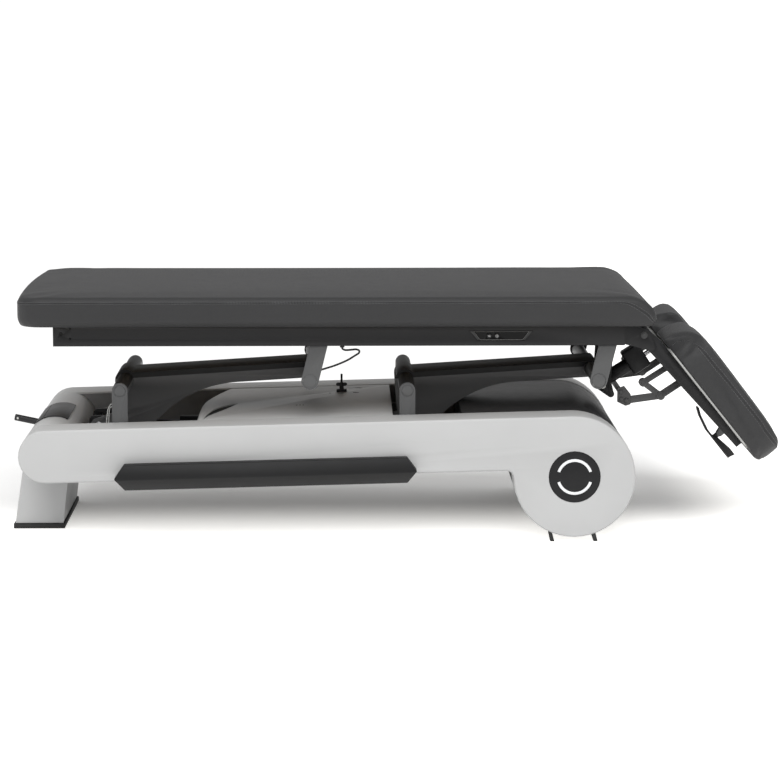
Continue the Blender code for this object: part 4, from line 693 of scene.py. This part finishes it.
def make_head_pad():
    p = HEAD_PAD
    inset = 0.0018
    form = drawn(pad_plan(inset), 0.3, p["bottom"] + p["thickness"] / 2, flat=True)
    shared(form, drawn(pad_side(inset), p["width"] + 0.1))
    eased(form, 0.014, 4, 40)
    stuffed(form, 0.006, 0.0036, lambda q: q.z < p["bottom"] + 0.003)
    for vertex in form.data.vertices:
        if vertex.co.x < 0.332:
            vertex.co.z = max(vertex.co.z, p["bottom"] + 0.0001)
    tree = surface_of(form)
    seam, half = p["bottom"] + p["thickness"] - 0.0130, p["width"] / 2 + 0.003
    rise = [(0.0500, 0.028), (0.0485, 0.040), (0.0505, 0.053), (0.0580, 0.066), (0.072, 0.0755), (0.094, seam)]
    rim = lambda x: half - 0.130 + 0.130 * math.sqrt(1 - (max(p["start"] + 0.078 - x, 0) / 0.078) ** 2)
    near = [(x, rim(x), z) for x, z in rise] + [(x, half, seam + 0.001) for x in (0.18, 0.24, 0.30)]
    near += [(x, y, seam - 0.002) for x, y in reversed(arc((p["end"] - p["corner"], p["width"] / 2 - p["corner"]),
                                                           p["corner"] + 0.002, 0, 90, 10))]
    path = near + [(x, -y, z) for x, y, z in reversed(near)]
    cord = line([spot for spot, _ in snapped(tree, evenly(path, 0.005), 0.0001)], 0.0010)
    rows = []
    for rise in (0.0038, -0.0038):
        row = [(x, y, z + rise) if 5 <= index < len(path) - 5 else (x - rise, y, z)
               for index, (x, y, z) in enumerate(path)]
        rows.append(stitches(tree, row))
    threads = together(rows)
    for piece in (form, cord, threads):
        tilted(piece)
    pad = dress(form, "head_pad_cover", LOOKS["upholstery"], "head_section", ["head_pad"])
    dress(cord, "head_pad_piping", PIPING, "head_section")
    dress(threads, "head_pad_stitches", THREAD, "head_section")


# Small hardware
def bolt(place, outward, radius=0.0055, height=0.0045, washer=0.0085):
    """A hexagon bolt head on a washer, facing along outward."""
    place, outward = Vector(place), Vector(outward).normalized()
    disc = cylinder(washer, (place, place + outward * 0.0012), 32)
    eased(disc, 0.0003, 1)
    head = cylinder(radius, (place + outward * 0.0011, place + outward * (0.0011 + height)), 6)
    eased(head, 0.0006, 2)
    return together([disc, head])


def make_cable():
    route = [(0.0, 0.0), (0.001, -0.003), (0.006, -0.0055), (0.0135, -0.0056), (0.0217, -0.0048),
             (0.031, -0.0042), (0.0375, -0.0070), (0.0365, -0.0125), (0.028, -0.0180),
             (0.0109, -0.0285), (-0.0152, -0.0395), (-0.036, -0.0462), (-0.0505, -0.0505)]
    low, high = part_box("cable_gland")
    start = Vector(((low.x + high.x) / 2, (low.y + high.y) / 2, low.z - 0.0003))
    path = [Vector((start.x + x, start.y, start.z + z)) for x, z in route]
    points = []
    for index in range(len(path) - 1):
        before, here = path[max(index - 1, 0)], path[index]
        there, after = path[index + 1], path[min(index + 2, len(path) - 1)]
        for step in range(3):
            t = step / 3
            points.append(0.5 * ((2 * here) + (there - before) * t
                                 + (2 * before - 5 * here + 4 * there - after) * t * t
                                 + (3 * here - before - 3 * there + after) * t ** 3))
    points.append(path[-1])
    length = sum((b - a).length for a, b in zip(points, points[1:]))
    cable = line(points, 0.0022, 4)
    dress(cable, "panel_cable_jacket", LOOKS["rubber"], "top", ["panel_cable"])


make_cable()
make_mattress()
make_head_pad()

SHARP = {"control_panel": 0.0004, "near_light_ring": 0.0003, "far_light_ring": 0.0003, "hatch_upper": 0.0006,
         "hatch_lower": 0.0006, "near_side_shell": 0.0016, "far_side_shell": 0.0016, "foot_cross_hull": 0.0012,
         "near_foot_bar": 0.0018, "far_foot_bar": 0.0018, "near_hub_cover": 0.0004, "far_hub_cover": 0.0004,
         "tilt_rod": 0.0003, "lower_button": 0.0005, "raise_button": 0.0005, "cable_gland": 0.0006}
SOFT = {"mattress", "head_pad", "panel_cable"}
for node_name in sorted(frame["nodes"]):
    if node_name not in SOFT:
        finished(node_name, SHARP.get(node_name, 0.0008))


def ring(centre, radius, thickness, outward, facets=24):
    """A thin round ring that faces along outward."""
    turn = Vector(outward).to_track_quat("Z", "Y").to_euler()
    bpy.ops.mesh.primitive_torus_add(location=centre, rotation=turn, major_radius=radius,
                                     minor_radius=thickness, major_segments=facets, minor_segments=8)
    item = placed(bpy.context.object)
    bpy.ops.object.shade_smooth()
    return item


def make_panel():
    """Outline of the panel's window, and plain marks on the two keys."""
    low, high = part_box("control_panel")
    face = low.y - 0.0002
    top, foot = high.z - 0.0016, low.z + 0.0024
    left, right = low.x + 0.0115, high.x - 0.0100
    points = [(left, top), (left + 0.0105, foot + 0.0035), (left + 0.0125, foot + 0.0012),
              (left + 0.0160, foot), (right - 0.0160, foot), (right - 0.0125, foot + 0.0012),
              (right - 0.0105, foot + 0.0035), (right, top), (left, top)]
    window = line([(x, face, z) for x, z in points], 0.0006, 2)
    dress(window, "panel_window_line", BEZEL, "top")
    corners = []
    for outer, inner, way in ((low.x, left, 1), (high.x, right, -1)):
        corner = [(outer + way * 0.002, top + 0.0008), (inner - way * 0.0008, top + 0.0008),
                  (inner + way * 0.0112, foot - 0.0004), (inner + way * 0.0085, foot - 0.0004)]
        piece = drawn(corner, 0.0003, low.y - 0.0001)
        corners.append(piece)
    dress(together(corners), "panel_rim_ends", RIM, "top")
    low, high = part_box("lower_button")
    x, z, face = (low.x + high.x) / 2, (low.z + high.z) / 2, low.y - 0.0001
    bars = [cylinder(0.0005, ((x - 0.0028, face, z + rise), (x + 0.0028, face, z + rise)), 8)
            for rise in (0.0011, -0.0011)]
    dress(together(bars), "lower_button_mark", MARKS, "lower_key")
    low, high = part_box("raise_button")
    x, z, face = (low.x + high.x) / 2, (low.z + high.z) / 2, low.y - 0.0001
    circle = ring((x, face, z), 0.0026, 0.0005, (0, -1, 0))
    spot = cylinder(0.0008, ((x, face - 0.0002, z), (x, face + 0.0003, z)), 12)
    dress(together([circle, spot]), "raise_button_mark", MARKS, "raise_key")


def make_linkage_bolts():
    """Bolts where the head section's levers, tube and hinges are pinned."""
    edge = 0.200 + 0.0060
    items = []
    for side in (-1, 1):
        for x, z in ((0.0925, -0.0665), (0.1405, -0.0545)):
            items.append(bolt((x, side * (edge + 0.0008), z), (0, side, 0), 0.0058, 0.0035, 0.0078))
        items.append(bolt((0.1010, side * (edge + 0.0055), -0.1205), (0, side, 0), 0.0042, 0.0020, 0.0054))
        items.append(bolt((0.031, side * 0.2652, -0.002), (0, side, 0), 0.0050, 0.0034, 0.0066))
    item = tilted(together(items))
    dress(item, "lever_bolts", BLACK_BOLT, "head_section")
    foot = JOINTS["tilt_swing"]["pos_m"]
    ends = [bolt((foot[0], side * 0.0510, foot[2]), (0, side, 0), 0.0060, 0.0040, 0.0082) for side in (-1, 1)]
    dress(together(ends), "hanger_bolts", ZINC, "top")
    pins = [bolt((HINGE.x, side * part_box(name)[0 if side < 0 else 1].y * side, HINGE.z), (0, side, 0),
                 0.0062, 0.0030, 0.0080) for side, name in ((-1, "near_hinge_pin"), (1, "far_hinge_pin"))]
    dress(together(pins), "hinge_bolts", BLACK_BOLT, "top")


def make_tip_brackets():
    """Bracket plates with their bolts on both lever tips."""
    tip = HINGE + Vector((-0.0309, 0, -0.1541))
    outline = [(-0.0207, 0.0271), (-0.0057, 0.0328), (0.0094, 0.0139), (0.0094, -0.0087), (-0.0019, -0.0124),
               (-0.0207, -0.0030)]
    items = []
    for side in (-1, 1):
        plate = drawn([(tip.x + x, tip.z + z) for x, z in outline], 0.0040, side * 0.2056)
        eased(plate, 0.0012, 2)
        items.append(plate)
        for x, z in ((-0.0130, 0.0195), (-0.0120, 0.0030)):
            items.append(bolt((tip.x + x, side * 0.2074, tip.z + z), (0, side, 0), 0.0044, 0.0034, 0.0060))
            items.append(cylinder(0.0030, ((tip.x + x, side * 0.2040, tip.z + z),
                                           (tip.x + x, side * 0.1930, tip.z + z)), 16))
    dress(together(items), "lever_tip_brackets", BLACK_BOLT, "head_section")


def make_deck_marks():
    """Dark discs as painted shade in place of vent holes and two larger holes, and the clamp's wing screw on the deck.
    """
    deck = frame["nodes"]["base_deck"]
    tree = surface_of(deck)

    def on_deck(x, y):
        spot = tree.ray_cast(Vector((x, y, 0.5)), Vector((0, 0, -1)))[0]
        return spot

    # Painted shade: dark discs raised just above the deck stand in for the shade inside the vent holes and two larger
    # holes.
    dots = []
    for column in range(3):
        for row in range(2):
            spot = on_deck(-0.2091 + (column - 1) * 0.0075, -0.0526 + (row - 0.5) * 0.0090)
            if spot:
                dots.append(cylinder(0.0016, (spot - Vector((0, 0, 0.001)), spot + Vector((0, 0, 0.0002))), 12))
    for x, y, radius in ((-0.0806, 0.1288, 0.0075), (-0.1414, 0.1298, 0.0030)):
        spot = on_deck(x, y)
        if spot:
            dots.append(cylinder(radius, (spot - Vector((0, 0, 0.001)), spot + Vector((0, 0, 0.0003))), 24))
    dress(together(dots), "deck_hole_shade_discs", HOLE_SHADE, "base")
    clamp_low, clamp_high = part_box("deck_clamp")
    centre = (clamp_low + clamp_high) / 2
    height = clamp_low.z + 0.0175
    wings = []
    for side in (-1, 1):
        bpy.ops.mesh.primitive_uv_sphere_add(segments=20, ring_count=10, radius=0.006,
                                             location=(centre.x + side * 0.0072, centre.y, height))
        wing = bpy.context.object
        wing.scale = (1.0, 0.36, 0.72)
        wings.append(placed(wing))
    bpy.ops.object.shade_smooth()
    hub = cylinder(0.0042, ((centre.x, centre.y, height - 0.006), (centre.x, centre.y, height + 0.005)), 20)
    eased(hub, 0.0008, 2)
    dress(together([hub] + wings), "clamp_wing_screw", BLACK_BOLT, "base")


def make_wires():
    """Two pale wires that rise beside the near foot post."""
    x, y = FOOT_PIVOT.x, -0.222
    wires = []
    for shift, lift in ((0.0, 0.0), (0.0045, -0.006)):
        path = [(x - 0.0330 + shift, y, 0.170), (x - 0.0325 + shift, y, 0.225), (x - 0.0315 + shift, y, 0.255 + lift),
                (x - 0.0285 + shift * 0.6, y, 0.276 + lift), (x - 0.0235, y, 0.287 + lift),
                (x - 0.0185, y - 0.006, 0.290 + lift), (x - 0.0165, y - 0.012, 0.290 + lift)]
        wires.append(line(path, 0.0011, 3))
    dress(together(wires), "post_wires", WIRE, "base")


def make_pedal_end():
    """Bright rivet in the pedal's tip."""
    low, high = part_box("pedal")
    x, z = low.x + 0.0085, high.z - 0.0085
    rivet = cylinder(0.0026, ((x, low.y - 0.0006, z), (x, low.y + 0.002, z)), 20)
    eased(rivet, 0.0004, 2)
    dress(rivet, "pedal_rivet", ZINC, "pedal_rod")


make_panel()
make_linkage_bolts()
make_tip_brackets()
make_deck_marks()
make_wires()
make_pedal_end()


# Pale floor, whose glow is painted light that fades the shadow towards the camera and past the head end, and soft
# studio light
def make_stage():
    bpy.ops.mesh.primitive_plane_add(size=1200, location=(0, 0, -0.0006))
    floor = bpy.context.object
    floor.name = "studio_floor"
    paint = bpy.data.materials.new("pale_floor")
    paint.use_nodes = True
    nodes, links = paint.node_tree.nodes, paint.node_tree.links
    shader = nodes["Principled BSDF"]
    shader.inputs["Base Color"].default_value = (0.86, 0.86, 0.86, 1)
    shader.inputs["Roughness"].default_value = 0.9
    shader.inputs["Specular IOR Level"].default_value = 0.0
    rays = nodes.new("ShaderNodeLightPath")
    seen = nodes.new("ShaderNodeMath")
    seen.operation = "MAXIMUM"
    links.new(rays.outputs["Is Camera Ray"], seen.inputs[0])
    links.new(rays.outputs["Is Glossy Ray"], seen.inputs[1])
    spot = nodes.new("ShaderNodeNewGeometry")
    axes = nodes.new("ShaderNodeSeparateXYZ")
    links.new(spot.outputs["Position"], axes.inputs[0])
    # Painted light: the floor's glow rises towards the camera and beyond the head end, lightening the object's shadow
    # there.
    level = 0.15
    for axis, start, end, rise in ((1, 0.17, -0.28, 0.72), (0, 0.63, 0.82, 0.40)):
        painted_light_fade = nodes.new("ShaderNodeMapRange")
        painted_light_fade.interpolation_type = "SMOOTHSTEP"
        links.new(axes.outputs[axis], painted_light_fade.inputs["Value"])
        painted_light_fade.inputs["From Min"].default_value, painted_light_fade.inputs["From Max"].default_value = min(start, end), max(start, end)
        painted_light_fade.inputs["To Min"].default_value, painted_light_fade.inputs["To Max"].default_value = (rise, 0) if start > end else (0, rise)
        both = nodes.new("ShaderNodeMath")
        if isinstance(level, float):
            both.inputs[0].default_value = level
        else:
            links.new(level, both.inputs[0])
        links.new(painted_light_fade.outputs["Result"], both.inputs[1])
        level = both.outputs[0]
    tint = nodes.new("ShaderNodeVectorMath")
    tint.operation = "SCALE"
    tint.inputs[0].default_value = (1.0, 0.985, 0.95)
    strength = nodes.new("ShaderNodeMath")
    strength.operation = "MULTIPLY"
    links.new(level, strength.inputs[0])
    links.new(seen.outputs[0], strength.inputs[1])
    links.new(strength.outputs[0], tint.inputs["Scale"])
    links.new(tint.outputs[0], shader.inputs["Emission Color"])
    shader.inputs["Emission Strength"].default_value = 1.0
    floor.data.materials.append(paint)
    world = bpy.data.worlds.new("studio")
    scene.world = world
    world.use_nodes = True
    sky, pipe = world.node_tree.nodes, world.node_tree.links
    back = sky["Background"]
    back.inputs["Color"].default_value = (1, 1, 1, 1)
    back.inputs["Strength"].default_value = 0.54
    front = sky.new("ShaderNodeBackground")
    front.inputs["Color"].default_value = (1, 1, 1, 1)
    path = sky.new("ShaderNodeLightPath")
    blend = sky.new("ShaderNodeMixShader")
    pipe.new(path.outputs["Is Camera Ray"], blend.inputs[0])
    pipe.new(back.outputs[0], blend.inputs[1])
    pipe.new(front.outputs[0], blend.inputs[2])
    pipe.new(blend.outputs[0], sky["World Output"].inputs[0])
    for name, strength, spread, turn in (("overhead", 2.10, 46, (38, -4, 0)), ("front", 0.12, 60, (74, 0, -8))):
        bpy.ops.object.light_add(type="SUN", rotation=[math.radians(a) for a in turn])
        lamp = bpy.context.object
        lamp.name = name
        lamp.data.energy = strength
        lamp.data.angle = math.radians(spread)


make_stage()
scene.view_settings.view_transform = "Standard"
